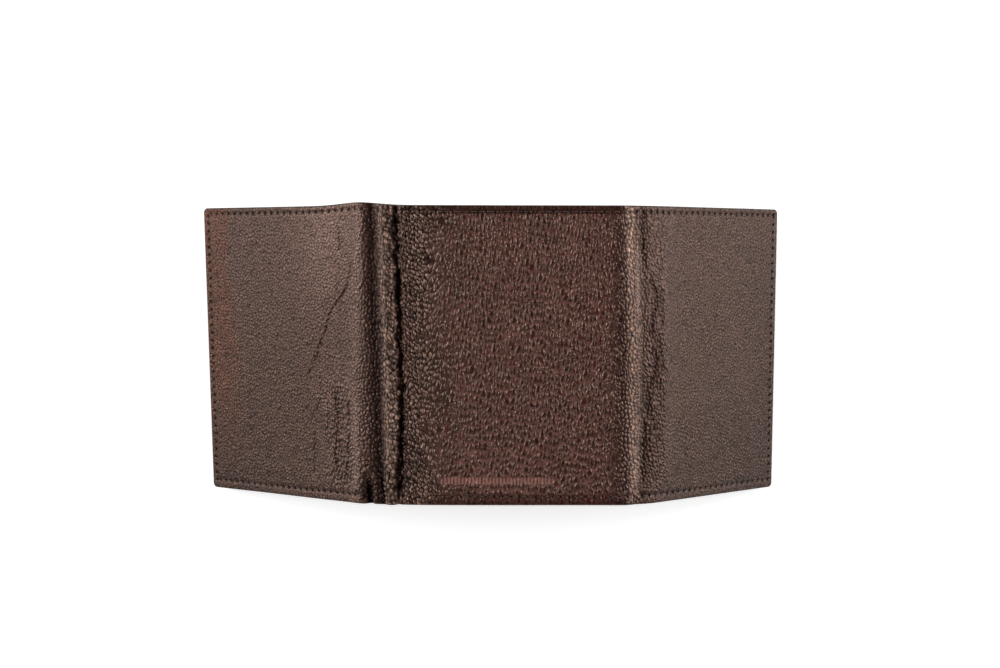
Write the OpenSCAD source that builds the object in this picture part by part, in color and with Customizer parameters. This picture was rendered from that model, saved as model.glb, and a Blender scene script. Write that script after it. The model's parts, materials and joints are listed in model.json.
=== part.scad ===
// Trifold leather wallet, standing half open on the outer edges of its two flaps, outside up.
// The one-piece hide is divided at its four creases into five leaves: flap, spine, centre, spine, flap.
// +X runs across the opened wallet, +Y towards the mouth of the bill pocket, +Z up.
// The origin is on the surface that the flaps stand on, at the middle of the wallet's outline.

/* [Panels] */
// Height of every panel, along the creases
wallet_h = 108; // [104:1:116]
// Width of the centre panel, crease to crease
centre_w = 82; // [78:1:90]
// Width of the left flap, which folds in last
left_flap_w = 76; // [70:1:78]
// Width of the right flap, which folds in first
right_flap_w = 71; // [66:1:73]
// Width of the left spine, which goes round both other panels
left_spine_w = 13.2; // [13:0.2:16]
// Width of the right spine, which goes round the centre panel only
right_spine_w = 7.8; // [7.6:0.1:8.2]
// How far the left flap droops below the centre panel, in degrees
left_droop = 34.5; // [28:0.5:40]

/* [Leather and cloth] */
// Thickness of the outer hide
hide_t = 1.0; // [0.9:0.1:1.1]
// Thickness of the cloth lining glued behind the hide
lining_t = 0.2; // [0.15:0.05:0.25]
// Slack in the empty bill pocket, between the lining and the inner wall
bill_gap = 0.5; // [0.4:0.1:0.6]
// Thickness of the inner wall and of the spine gussets
wall_t = 0.8; // [0.6:0.1:0.9]
// Thickness of the leather of a card pocket
pocket_t = 0.5; // [0.4:0.05:0.5]

/* [Card pockets] */
// Height of the front card pocket
front_pocket_h = 70; // [60:1:74]
// How much higher each pocket behind it stands
pocket_step = 12; // [10:0.5:13]

/* [Stitching] */
// Length of one stitch
stitch_l = 3.0; // [2.6:0.1:4]
// From the mouth edge to its seam
top_margin = 2.3; // [2:0.1:3]
// From the bottom edge to its seam
bottom_margin = 3.2; // [2.6:0.1:4]
// From a flap's outer edge to its seam
side_margin = 2.6; // [2:0.1:3]

/* [Hidden] */
$fn = 48;
eps = 0.01;
cut = 5;                    // how far a cutter runs past what it cuts

// Levels below the hide's mid plane, which holds the crease axes.
hide_r = hide_t / 2;
lining_z = -hide_r;
wall_z = lining_z - lining_t - bill_gap;
slot_gap = 0.1;
pocket_pitch = pocket_t + slot_gap;
slots_z = wall_z - wall_t - slot_gap;
pocket_count = 3;
card_panel_t = hide_r - slots_z + pocket_count * pocket_pitch - slot_gap;
film_t = 0.25;
frame_z = slots_z - film_t;

// Creases: a bead on the spine's edge turns in a socket in its neighbour.
bead_r = hide_r - 0.02;
socket_r = hide_r + 0.1;
mitre_gap = 0.1;
lining_relief = 1.0;        // from a crease to the cloth lining and the gusset
panel_relief = 2.5;         // from a crease to the inner layers of a panel

// Inner layers.
edge_inset = 0.4;           // inner layers stop this far inside the hide's outline
mouth_drop = 4;             // the inner wall stops this far below the mouth edge
corner_r = 1.6;
facing_h = 14;              // height of a leather facing on a cloth pocket
backing_t = 0.15;           // thickness of a cloth pocket
back_pocket_floor = 14;     // height of the back pocket's closed end above the bottom edge
middle_pocket_floor = 7;    // the same for the middle pocket
window_border = 9;          // leather left round the ID window at its sides and bottom
window_top_border = 14;
window_corner_r = 3;
film_overlap = 4;
thumb_r = 8;                // half-round thumb notch at the mouth end of the window

// Thread.
thread_w = 0.5;
thread_t = 0.2;
leg_w = 0.34;
groove_w = 0.8;
groove_d = 0.3;
hide_seam_z = hide_r - groove_d + 0.02; // underside of the thread that lies in the hide's groove
pocket_seam_inset = 1.8;    // from an inner layer's side edge to the seam that holds the card pockets

// Plain blind-tooled bar near the bottom edge of the centre panel.
bar_l = 41;
bar_w = 2.4;
bar_d = 0.2;
bar_x = -5;
bar_y = 9;                  // above the bottom edge

leather = [0.36, 0.27, 0.24];
inner_leather = [0.31, 0.23, 0.20];
cloth = [0.16, 0.12, 0.11];
thread = [0.25, 0.15, 0.13];
clear_film = [0.85, 0.88, 0.9, 0.35];

LEFT = -1;
RIGHT = 1;
function flap_w(side) = side == LEFT ? left_flap_w : right_flap_w;
function spine_w(side) = side == LEFT ? left_spine_w : right_spine_w;
id_panel_t = hide_r - frame_z + pocket_t;
function flap_t(side) = side == LEFT ? card_panel_t : id_panel_t;

// How far a flap's lowest corner, on its inner layers, lies below its centre crease at droop angle a.
function drop(side, a) =
    spine_w(side) * sin(a / 2) + (flap_w(side) - edge_inset) * sin(a) + (flap_t(side) - hide_r) * cos(a);

// The right flap droops until its outer edge stands on the same surface as the left one.
function level_droop(low, high, rounds) =
    let (mid = (low + high) / 2)
    rounds == 0 ? mid
    : drop(RIGHT, mid) < drop(LEFT, left_droop) ? level_droop(mid, high, rounds - 1)
    : level_droop(low, mid, rounds - 1);
right_droop = level_droop(10, 80, 24);
function droop(side) = side == LEFT ? left_droop : right_droop;

// How far a flap's outermost corner reaches from its centre crease.
function reach(side) =
    let (a = droop(side))
    spine_w(side) * cos(a / 2) + flap_w(side) * cos(a) + hide_r * sin(a);
centre_x = (reach(LEFT) - reach(RIGHT)) / 2;
crease_z = drop(LEFT, left_droop);

// ---- Places. Each panel is drawn flat, with x running outwards from its inner crease. ----

module on_centre()
    translate([centre_x, 0, crease_z]) children();

module on_spine(side)
    on_centre()
        mirror([side == LEFT ? 1 : 0, 0, 0])
            translate([centre_w / 2, 0, 0]) rotate([0, droop(side) / 2, 0]) children();

module on_flap(side)
    on_spine(side)
        translate([spine_w(side), 0, 0]) rotate([0, droop(side) / 2, 0]) children();

// ---- Shapes ----

// Extrudes an outline drawn in x and z along the creases.
module along_crease(length)
    rotate([90, 0, 0]) linear_extrude(height = length, center = true) children();

// A flat layer from x0 to x1 and y0 to y1, heights counted from the bottom edge, hanging down from top_z.
module layer(x0, x1, y0, y1, top_z, t)
    translate([x0, y0 - wallet_h / 2, top_z - t]) cube([x1 - x0, y1 - y0, t]);

// The wedge that two leaves clear on their inner side so that they can fold to a right angle.
module mitre_wedge_2d() polygon([[-cut, 0], [-cut, -cut], [cut + mitre_gap, -cut], [mitre_gap, 0]]);

// Section of a leaf that is bounded by sockets: one at x = 0 and, if both is true, one at x = w.
module socket_leaf_2d(w, both)
    difference() {
        translate([0, -hide_r]) square([w, hide_t]);
        circle(socket_r);
        mitre_wedge_2d();
        if (both) translate([w, 0]) mirror([1, 0]) {
            circle(socket_r);
            mitre_wedge_2d();
        }
    }

// Section of a spine leaf, with a bead along each edge.
module bead_leaf_2d(w)
    union() {
        difference() {
            translate([0, -hide_r]) square([w, hide_t]);
            mitre_wedge_2d();
            translate([w, 0]) mirror([1, 0]) mitre_wedge_2d();
        }
        circle(bead_r);
        translate([w, 0]) circle(bead_r);
    }

// Rounds an outer corner of a flap; sy is 1 at the mouth edge and -1 at the bottom edge.
module corner_cutter(w, sy)
    translate([w - corner_r, sy * (wallet_h / 2 - corner_r), 0])
        difference() {
            translate([0, sy > 0 ? 0 : -cut, -cut]) cube([cut, cut, 2 * cut]);
            cylinder(r = corner_r, h = 3 * cut, center = true);
        }

module seam_groove_x(x0, x1, y)
    translate([x0, y - groove_w / 2, hide_r - groove_d]) cube([x1 - x0, groove_w, groove_d + cut]);

module seam_groove_y(x, y0, y1)
    translate([x - groove_w / 2, y0, hide_r - groove_d]) cube([groove_w, y1 - y0, groove_d + cut]);

top_seam_y = wallet_h / 2 - top_margin;
bottom_seam_y = -wallet_h / 2 + bottom_margin;

module edge_grooves(x0, x1)
    union() {
        seam_groove_x(x0, x1, top_seam_y);
        seam_groove_x(x0, x1, bottom_seam_y);
    }

// One run of lockstitch along +X: a strand above face_z, one below back_z, and a leg through every hole.
module seam(length, face_z, back_z) {
    count = max(1, round(length / stitch_l));
    pitch = length / count;
    along_crease(thread_w) union() {
        for (z = [face_z, back_z - thread_t])
            translate([-leg_w / 2, z]) square([length + leg_w, thread_t]);
        for (i = [0 : count])
            translate([i * pitch - leg_w / 2, back_z - eps]) square([leg_w, face_z - back_z + 2 * eps]);
    }
}

module seam_x(x0, x1, y, face_z, back_z)
    translate([x0, y, 0]) seam(x1 - x0, face_z, back_z);

module seam_y(x, y0, y1, face_z, back_z)
    translate([x, y0, 0]) rotate([0, 0, 90]) seam(y1 - y0, face_z, back_z);

// ---- Hide ----

// A plain blind-tooled bar with round ends.
module tooled_bar()
    translate([bar_x, -wallet_h / 2 + bar_y, hide_r - bar_d])
        linear_extrude(height = cut) union() {
            square([bar_l - bar_w, bar_w], center = true);
            for (s = [-1, 1]) translate([s * (bar_l - bar_w) / 2, 0]) circle(d = bar_w - 0.02);
        }

module centre_shell()
    color(leather) on_centre() difference() {
        translate([-centre_w / 2, 0, 0]) along_crease(wallet_h) socket_leaf_2d(centre_w, true);
        edge_grooves(-centre_w / 2 - cut, centre_w / 2 + cut);
        tooled_bar();
    }

module spine_shell(side)
    color(leather) on_spine(side) difference() {
        along_crease(wallet_h) bead_leaf_2d(spine_w(side));
        edge_grooves(lining_relief, spine_w(side) - lining_relief);
    }

module flap_shell(side)
    color(leather) on_flap(side) difference() {
        along_crease(wallet_h) socket_leaf_2d(flap_w(side), false);
        for (sy = [-1, 1]) corner_cutter(flap_w(side), sy);
        edge_grooves(-cut, flap_w(side) - side_margin + groove_w / 2);
        seam_groove_y(flap_w(side) - side_margin, bottom_seam_y, top_seam_y);
    }

// ---- Bill pocket: cloth lining behind the hide, and the wall in front of the notes ----

module lining(x0, x1)
    color(cloth) layer(x0, x1, edge_inset, wallet_h - edge_inset, lining_z, lining_t);

module inner_wall(x0, x1)
    color(inner_leather) layer(x0, x1, edge_inset, wallet_h - mouth_drop, wall_z, wall_t);

centre_inner_x = centre_w / 2 - panel_relief;

module centre_lining() on_centre() lining(-centre_w / 2 + lining_relief, centre_w / 2 - lining_relief);
module centre_inner_wall() on_centre() inner_wall(-centre_inner_x, centre_inner_x);
module spine_lining(side) on_spine(side) lining(lining_relief, spine_w(side) - lining_relief);
module spine_gusset(side) on_spine(side) inner_wall(lining_relief, spine_w(side) - lining_relief);
module flap_lining(side) on_flap(side) lining(lining_relief, flap_w(side) - edge_inset);
module flap_inner_wall(side) on_flap(side) inner_wall(panel_relief, flap_w(side) - edge_inset);

// ---- Card pockets: number 0 is the back one, which stands highest ----

function pocket_top(number) = front_pocket_h + (pocket_count - 1 - number) * pocket_step;
function pocket_z(number) = slots_z - number * pocket_pitch;

module cloth_pocket(x0, x1, number, floor_y)
    color(cloth) layer(x0, x1, floor_y, pocket_top(number) - facing_h, pocket_z(number), backing_t);

module facing(x0, x1, number)
    color(inner_leather)
        layer(x0, x1, pocket_top(number) - facing_h, pocket_top(number), pocket_z(number), pocket_t);

module front_pocket(x0, x1)
    color(inner_leather) layer(x0, x1, edge_inset, pocket_top(2), pocket_z(2), pocket_t);

left_flap_inner_x = left_flap_w - edge_inset;

module centre_back_pocket()
    on_centre() cloth_pocket(-centre_inner_x, centre_inner_x, 0, back_pocket_floor);
module centre_back_facing() on_centre() facing(-centre_inner_x, centre_inner_x, 0);
module centre_middle_pocket()
    on_centre() cloth_pocket(-centre_inner_x, centre_inner_x, 1, middle_pocket_floor);
module centre_middle_facing() on_centre() facing(-centre_inner_x, centre_inner_x, 1);
module centre_front_pocket() on_centre() front_pocket(-centre_inner_x, centre_inner_x);

module left_flap_back_pocket()
    on_flap(LEFT) cloth_pocket(panel_relief, left_flap_inner_x, 0, back_pocket_floor);
module left_flap_back_facing() on_flap(LEFT) facing(panel_relief, left_flap_inner_x, 0);
module left_flap_middle_pocket()
    on_flap(LEFT) cloth_pocket(panel_relief, left_flap_inner_x, 1, middle_pocket_floor);
module left_flap_middle_facing() on_flap(LEFT) facing(panel_relief, left_flap_inner_x, 1);
module left_flap_front_pocket() on_flap(LEFT) front_pocket(panel_relief, left_flap_inner_x);

// ---- ID window on the right flap ----

window_x0 = panel_relief + window_border;
window_x1 = right_flap_w - edge_inset - window_border;
window_y0 = window_border;
window_y1 = wallet_h - mouth_drop - window_top_border;

module window_opening_2d()
    union() {
        translate([window_x0, window_y0 + window_corner_r])
            square([window_x1 - window_x0, window_y1 - window_y0 - 2 * window_corner_r]);
        translate([window_x0 + window_corner_r, window_y0])
            square([window_x1 - window_x0 - 2 * window_corner_r, window_y1 - window_y0]);
        for (x = [window_x0, window_x1], y = [window_y0, window_y1])
            translate([x + (x == window_x0 ? 1 : -1) * window_corner_r,
                       y + (y == window_y0 ? 1 : -1) * window_corner_r])
                circle(window_corner_r - 0.01);
        translate([(window_x0 + window_x1) / 2, window_y1 - 0.5]) circle(thumb_r);
    }

module id_window_film()
    color(clear_film) on_flap(RIGHT)
        layer(panel_relief, right_flap_w - edge_inset, edge_inset, window_y1 + film_overlap,
              slots_z, film_t);

module id_window_frame()
    color(inner_leather) on_flap(RIGHT) difference() {
        layer(panel_relief, right_flap_w - edge_inset, edge_inset, wallet_h - mouth_drop,
              frame_z, pocket_t);
        translate([0, -wallet_h / 2, frame_z - cut])
            linear_extrude(height = 2 * cut) window_opening_2d();
    }

// ---- Thread: the mouth seam holds the hide and lining, the others go through every layer ----

mouth_back_z = lining_z - lining_t;
wall_back_z = wall_z - wall_t;
id_back_z = frame_z - pocket_t;
function card_back_z(pockets) = pockets == 0 ? wall_back_z : pocket_z(pockets - 1) - pocket_t;
function flap_back_z(side) = side == LEFT ? card_back_z(pocket_count) : id_back_z;
seam_relief = lining_relief + 0.4;
panel_seam_relief = panel_relief + 0.6;
wall_top_y = wallet_h / 2 - mouth_drop;

// An upright seam through a wall with card pockets, with one run for each number of pockets it meets.
module pocket_seam(x, y0, y1, face_z) {
    tops = [for (k = [1 : pocket_count]) pocket_top(pocket_count - k) - wallet_h / 2];
    ends = concat([y0], tops, [y1]);
    for (k = [0 : pocket_count])
        seam_y(x, ends[k] + leg_w, ends[k + 1] - leg_w, face_z, card_back_z(pocket_count - k));
}

module centre_stitching()
    color(thread) on_centre() {
        mouth_x = centre_w / 2 - seam_relief;
        bottom_x = centre_w / 2 - panel_seam_relief;
        seam_x(-mouth_x, mouth_x, top_seam_y, hide_seam_z, mouth_back_z);
        seam_x(-bottom_x, bottom_x, bottom_seam_y, hide_seam_z, card_back_z(pocket_count));
    }

module spine_stitching(side) {
    x1 = spine_w(side) - seam_relief;
    color(thread) on_spine(side) {
        seam_x(seam_relief, x1, top_seam_y, hide_seam_z, mouth_back_z);
        seam_x(seam_relief, x1, bottom_seam_y, hide_seam_z, wall_back_z);
    }
}

module flap_stitching(side) {
    outer_x = flap_w(side) - side_margin;
    y0 = bottom_seam_y + stitch_l / 2;
    y1 = wall_top_y - stitch_l / 2;
    color(thread) on_flap(side) {
        seam_x(seam_relief, outer_x - stitch_l / 2, top_seam_y, hide_seam_z, mouth_back_z);
        seam_x(panel_seam_relief, outer_x - stitch_l / 2, bottom_seam_y, hide_seam_z, flap_back_z(side));
        if (side == LEFT) pocket_seam(outer_x, y0, y1, hide_seam_z);
        else seam_y(outer_x, y0, y1, hide_seam_z, id_back_z);
    }
}

// Seams that hold the card pockets to the inner wall and don't reach the hide.
inner_seam_y0 = bottom_seam_y + stitch_l;
inner_seam_y1 = wall_top_y - stitch_l;
inner_seam_x = panel_relief + pocket_seam_inset;

module centre_pocket_stitching()
    color(thread) on_centre() for (s = [-1, 1])
        pocket_seam(s * (centre_w / 2 - inner_seam_x), inner_seam_y0, inner_seam_y1, wall_z);

module left_flap_pocket_stitching()
    color(thread) on_flap(LEFT) pocket_seam(inner_seam_x, inner_seam_y0, inner_seam_y1, wall_z);

module id_window_stitching()
    color(thread) on_flap(RIGHT) seam_y(inner_seam_x, inner_seam_y0, inner_seam_y1, wall_z, id_back_z);

centre_shell();
centre_lining();
centre_inner_wall();
centre_back_pocket();
centre_back_facing();
centre_middle_pocket();
centre_middle_facing();
centre_front_pocket();
centre_pocket_stitching();
centre_stitching();
spine_shell(LEFT);  // left_spine_shell
spine_lining(LEFT);  // left_spine_lining
spine_gusset(LEFT);  // left_spine_gusset
spine_stitching(LEFT);  // left_spine_stitching
flap_shell(LEFT);  // left_flap_shell
flap_lining(LEFT);  // left_flap_lining
flap_inner_wall(LEFT);  // left_flap_inner_wall
left_flap_back_pocket();
left_flap_back_facing();
left_flap_middle_pocket();
left_flap_middle_facing();
left_flap_front_pocket();
left_flap_pocket_stitching();
flap_stitching(LEFT);  // left_flap_stitching
spine_shell(RIGHT);  // right_spine_shell
spine_lining(RIGHT);  // right_spine_lining
spine_gusset(RIGHT);  // right_spine_gusset
spine_stitching(RIGHT);  // right_spine_stitching
flap_shell(RIGHT);  // right_flap_shell
flap_lining(RIGHT);  // right_flap_lining
flap_inner_wall(RIGHT);  // right_flap_inner_wall
id_window_film();
id_window_frame();
id_window_stitching();
flap_stitching(RIGHT);  // right_flap_stitching
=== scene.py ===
"""The looks of a trifold leather wallet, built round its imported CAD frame.

Shapes are worked out in millimetres on the wallet's flat pattern: u runs across the opened wallet
from the middle of the centre panel, v runs along the creases towards the mouth of the bill pocket,
and h is the height above the middle of the hide. place() folds the pattern at the frame's creases.
"""
import json
import math
from types import SimpleNamespace

import bpy
import numpy as np
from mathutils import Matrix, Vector


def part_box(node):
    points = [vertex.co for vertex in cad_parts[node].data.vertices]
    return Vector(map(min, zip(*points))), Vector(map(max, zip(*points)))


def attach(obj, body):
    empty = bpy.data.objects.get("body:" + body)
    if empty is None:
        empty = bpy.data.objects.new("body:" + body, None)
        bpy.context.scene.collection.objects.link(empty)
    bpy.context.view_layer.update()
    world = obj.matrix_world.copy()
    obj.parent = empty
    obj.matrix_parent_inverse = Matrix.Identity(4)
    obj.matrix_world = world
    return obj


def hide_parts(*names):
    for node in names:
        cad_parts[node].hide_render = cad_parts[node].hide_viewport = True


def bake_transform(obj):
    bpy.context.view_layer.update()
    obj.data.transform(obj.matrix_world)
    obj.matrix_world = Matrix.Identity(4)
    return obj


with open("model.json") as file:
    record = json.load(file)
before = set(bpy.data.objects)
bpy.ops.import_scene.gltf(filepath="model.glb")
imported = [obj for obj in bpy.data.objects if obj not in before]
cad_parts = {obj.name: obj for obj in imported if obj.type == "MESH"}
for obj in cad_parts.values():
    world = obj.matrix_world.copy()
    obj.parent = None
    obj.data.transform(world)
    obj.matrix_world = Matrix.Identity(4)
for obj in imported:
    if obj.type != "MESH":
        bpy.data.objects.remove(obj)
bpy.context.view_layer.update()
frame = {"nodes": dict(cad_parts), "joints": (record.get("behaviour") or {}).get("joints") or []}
MM = 0.001

# ---- The frame's creases and panels ----

JOINTS = {j["name"]: j for j in frame["joints"]}


def crease_point(joint):
    """The (x, z) of a crease's axis in millimetres."""
    x, _, z = JOINTS[joint]["pos_m"]
    return np.array([x, z]) / MM


def droop(side):
    """How far a flap hangs below the centre panel at rest, in degrees."""
    return -2 * JOINTS[f"{side}_spine_fold"]["range_deg"][0]


LEFT_SPINE, LEFT_FLAP = crease_point("left_spine_fold"), crease_point("left_flap_fold")
RIGHT_SPINE, RIGHT_FLAP = crease_point("right_spine_fold"), crease_point("right_flap_fold")
CENTRE_X = (LEFT_SPINE[0] + RIGHT_SPINE[0]) / 2
CENTRE_Z = LEFT_SPINE[1]
DROOP_L, DROOP_R = droop("left"), droop("right")

# The u of each crease.
LEFT_CENTRE_U = LEFT_SPINE[0] - CENTRE_X
LEFT_FLAP_U = LEFT_CENTRE_U - np.linalg.norm(LEFT_FLAP - LEFT_SPINE)
RIGHT_CENTRE_U = RIGHT_SPINE[0] - CENTRE_X
RIGHT_FLAP_U = RIGHT_CENTRE_U + np.linalg.norm(RIGHT_FLAP - RIGHT_SPINE)
CREASE_R = 3.0      # half the length of hide that bends at a crease
PATTERN_STEP = 0.05
PATTERN_MARGIN = 90
SPAN_PROBE = 60.0


def smoothstep(x, low=0.0, high=1.0):
    t = np.clip((x - low) / (high - low), 0, 1)
    return t * t * (3 - 2 * t)


def bell(x, width):
    return np.exp(-((x / width) ** 2))


def slope(u):
    """The hide's slope at u, in radians: uphill on the left of the centre panel, downhill on its right."""
    turns = [
        (LEFT_FLAP_U, -DROOP_L / 2),
        (LEFT_CENTRE_U, -DROOP_L / 2),
        (RIGHT_CENTRE_U, -DROOP_R / 2),
        (RIGHT_FLAP_U, -DROOP_R / 2),
    ]
    angle = np.full_like(u, DROOP_L)
    for at, turn in turns:
        angle = angle + turn * smoothstep(u, at - CREASE_R, at + CREASE_R)
    return np.radians(angle)


U_TABLE = np.arange(LEFT_FLAP_U - PATTERN_MARGIN, RIGHT_FLAP_U + PATTERN_MARGIN, PATTERN_STEP)
SLOPE_TABLE = slope(U_TABLE)


def along(direction):
    """Adds up small steps along the hide, counted from the middle of the centre panel."""
    steps = (direction[1:] + direction[:-1]) / 2 * PATTERN_STEP
    total = np.concatenate([[0], np.cumsum(steps)])
    return total - np.interp(0, U_TABLE, total)


X_TABLE = CENTRE_X + along(np.cos(SLOPE_TABLE))
Z_TABLE = CENTRE_Z + along(np.sin(SLOPE_TABLE))


def fold(u, v, h):
    """Pattern coordinates in millimetres to points in the row frame, in metres, without the hide's lean."""
    x, z, a = (np.interp(u, U_TABLE, t) for t in (X_TABLE, Z_TABLE, SLOPE_TABLE))
    return np.stack([x - np.sin(a) * h, v, z + np.cos(a) * h], -1) * MM


def span(node, panel_u, side):
    """How far a CAD node reaches from the crease at panel_u, on a panel that runs out to side, in
    millimetres."""
    origin = fold(np.array(panel_u), 0.0, 0.0)
    far = fold(np.array(panel_u + side * SPAN_PROBE), 0.0, 0.0)
    out = (far - origin) / np.linalg.norm(far - origin)
    points = np.array([vertex.co for vertex in frame["nodes"][node].data.vertices])
    return float(((points - origin) @ out).max()) / MM


HALF_V = float(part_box("centre_shell")[1][1]) / MM
LEFT_EDGE_U = LEFT_FLAP_U - span("left_flap_shell", LEFT_FLAP_U, -1)
RIGHT_EDGE_U = RIGHT_FLAP_U + span("right_flap_shell", RIGHT_FLAP_U, 1)

# The four stretches of hide: each crosses one crease, and they meet half way across a body. A stretch lies
# across two bodies, and replaces the CAD nodes of the bodies that it shows.
LEFT_JOIN_U = (LEFT_FLAP_U + LEFT_CENTRE_U) / 2
RIGHT_JOIN_U = (RIGHT_CENTRE_U + RIGHT_FLAP_U) / 2
STRETCHES = {
    "left_outer": dict(u=(LEFT_EDGE_U, LEFT_JOIN_U), crease=LEFT_FLAP_U,
                       bodies=("left_flap", "left_spine"), shows=("left_flap",)),
    "left_inner": dict(u=(LEFT_JOIN_U, 0.0), crease=LEFT_CENTRE_U,
                       bodies=("left_spine", "centre"), shows=("left_spine", "centre")),
    "right_inner": dict(u=(0.0, RIGHT_JOIN_U), crease=RIGHT_CENTRE_U,
                        bodies=("centre", "right_spine"), shows=("right_spine",)),
    "right_outer": dict(u=(RIGHT_JOIN_U, RIGHT_EDGE_U), crease=RIGHT_FLAP_U,
                        bodies=("right_spine", "right_flap"), shows=("right_flap",)),
}

# ---- Levels through the wallet, as the CAD has them ----

HIDE_TOP = 0.5
HIDE_BACK = -0.45
HEM_BACK = -0.95
LINING = (-0.5, -0.7)
WALL = (-1.2, -2.0)
POCKET_PITCH = 0.6
POCKETS_TOP = WALL[1] - 0.1
POCKET_T = 0.5
FILM = (-2.1, -2.35)
FRAME = (-2.35, -2.85)
EDGE_INSET = 0.4
MOUTH_DROP = 4.0
PANEL_RELIEF = 2.5
UV_UNIT = 300.0         # millimetres of pattern to one unit of the UV map

# ---- Slight lean of the two flaps' outlines, as worn leather takes ----

LEFT_LEAN = 1.3
RIGHT_LEAN = 0.5
LEAN_START = 4.0        # the lean begins this far past a flap's crease
CREASE_RISE = 1.1
RISE_OUT = 2.0
RISE_W = 11.0


def lean(u, v):
    """The wallet has settled a little out of square: its flaps' outer edges lean in towards the bottom."""
    s = v / HALF_V
    left = smoothstep(-u, -LEFT_FLAP_U - LEAN_START, -LEFT_EDGE_U)
    right = smoothstep(u, RIGHT_FLAP_U + LEAN_START, RIGHT_EDGE_U)
    rise = bell(u - LEFT_FLAP_U + RISE_OUT, RISE_W) * smoothstep(s, 0.0, 1.0)
    return u - LEFT_LEAN * s * left + RIGHT_LEAN * s * right, v + CREASE_RISE * rise


def place(u, v, h):
    """Pattern coordinates to points of the settled wallet. Every layer follows the hide's broad shape,
    and a flap's edge stays on the floor where it leans in or out."""
    leant_u, leant_v = lean(u, v)
    leaning_in = np.where(u < 0, u - leant_u, leant_u - u)
    stay = leaning_in * np.tan(np.radians(np.where(u < 0, DROOP_L, DROOP_R)))
    return fold(leant_u, leant_v, h + settle(u, v) + stay)


# ---- Relief of the hide's outer face ----

SEAM_TOP = 2.3
SEAM_BOTTOM = 3.2
SEAM_SIDE = 2.6
STITCH = 3.0
SEED = 7
DEEPEST = -0.8      # the lowest the outer face dips, short of the hide's back
SWALLOWED = (LEFT_FLAP_U + 1.6, LEFT_CENTRE_U + 0.6)    # the bottom seam is hidden in the left fold here
CREASE_REACH = 6.0  # a drawn crease is only worked out this near to it


def lattice_noise(seed):
    """A smooth noise of two coordinates with values near -1 to 1 and features about one unit across."""
    rng = np.random.default_rng(seed)
    size = 64
    table = rng.uniform(-1, 1, (size, size))

    def noise(x, y):
        x, y = np.broadcast_arrays(x, y)
        xi, yi = np.floor(x).astype(int), np.floor(y).astype(int)
        fx, fy = smoothstep(x - xi), smoothstep(y - yi)
        a, b = table[xi % size, yi % size], table[(xi + 1) % size, yi % size]
        c, d = table[xi % size, (yi + 1) % size], table[(xi + 1) % size, (yi + 1) % size]
        return (a * (1 - fx) + b * fx) * (1 - fy) + (c * (1 - fx) + d * fx) * fy

    return noise


NOISE_A, NOISE_B, NOISE_C, NOISE_D = (lattice_noise(SEED + k) for k in range(4))


def cells(x, y, seed):
    """Distances to the nearest and second nearest of scattered points, one to a unit square, and the
    nearest point's own random number."""
    rng = np.random.default_rng(seed)
    size = 128
    jitter = rng.uniform(0.08, 0.92, (size, size, 2))
    lot = rng.uniform(0, 1, (size, size))
    xi, yi = np.floor(x).astype(int), np.floor(y).astype(int)
    near = np.full(x.shape, 9.0)
    second = np.full(x.shape, 9.0)
    own = np.zeros(x.shape)
    for dx in (-1, 0, 1):
        for dy in (-1, 0, 1):
            cx, cy = (xi + dx) % size, (yi + dy) % size
            px, py = xi + dx + jitter[cx, cy, 0], yi + dy + jitter[cx, cy, 1]
            d = np.hypot(x - px, y - py)
            closer = d < near
            second = np.where(closer, near, np.minimum(second, d))
            own = np.where(closer, lot[cx, cy], own)
            near = np.where(closer, d, near)
    return near, second, own


ROW_SLOPE = 0.45    # rows of pebbles run downhill to the right, so that no level row shows


def pebbles(u, v, kind, seed):
    """Domed pebbles of one kind parted by narrow gaps, and each one's own random number."""
    pitch, tall, leaning, shoulder = kind
    far = 300.0     # keeps the cells' numbers positive
    near, second, lot = cells((u - leaning * v) / pitch + far, (v + ROW_SLOPE * u) / tall + far, seed)
    top = smoothstep(second - near, 0.02, 2 * shoulder)
    return top * (0.80 + 0.35 * lot) - 0.30 * near ** 2, lot


def line_distance(u, v, points):
    """Distance to a bent line through the points, and how far along it the nearest place is, from 0 to 1."""
    points = np.array(points, float)
    lengths = np.linalg.norm(np.diff(points, axis=0), axis=1)
    starts = np.concatenate([[0], np.cumsum(lengths)])
    best, share = np.full(u.shape, 1e9), np.zeros(u.shape)
    for k, (a, b) in enumerate(zip(points[:-1], points[1:])):
        d = b - a
        t = np.clip(((u - a[0]) * d[0] + (v - a[1]) * d[1]) / (d @ d), 0, 1)
        far = np.hypot(u - a[0] - t * d[0], v - a[1] - t * d[1])
        share = np.where(far < best, (starts[k] + t * lengths[k]) / starts[-1], share)
        best = np.minimum(best, far)
    return best, share


def wander(v, points):
    """A line along the creases that drifts sideways: u at each v, through (v, u) points."""
    points = sorted(points)
    return np.interp(v, [p[0] for p in points], [p[1] for p in points])


# Lines along the spines, each as (v, u) points from the mouth edge down.
VALLEY = [(54, -50.6), (49, -49.9), (20, -49.2), (-9, -48.4), (-31, -47.4), (-54, -47.6)]
RIDGE = [(54, -46.6), (34, -45.7), (9, -44.9), (-9, -44.4), (-27, -43.6), (-54, -43.4)]
DEEP = [(54, -42.2), (42, -41.8), (27, -41.2), (9, -40.8), (-9, -40.0), (-27, -39.7), (-41, -40.3),
        (-54, -41.6)]
FLAP_EDGE = [(54, -55.0), (20, -56.4), (-15, -57.6), (-54, -57.4)]
RIGHT_STRIP = [(54, 42.0), (20, 42.8), (-16, 43.6), (-54, 44.6)]
RIGHT_SMOOTH = [(54, 45.6), (20, 46.6), (-16, 47.3), (-54, 46.2)]

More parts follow.
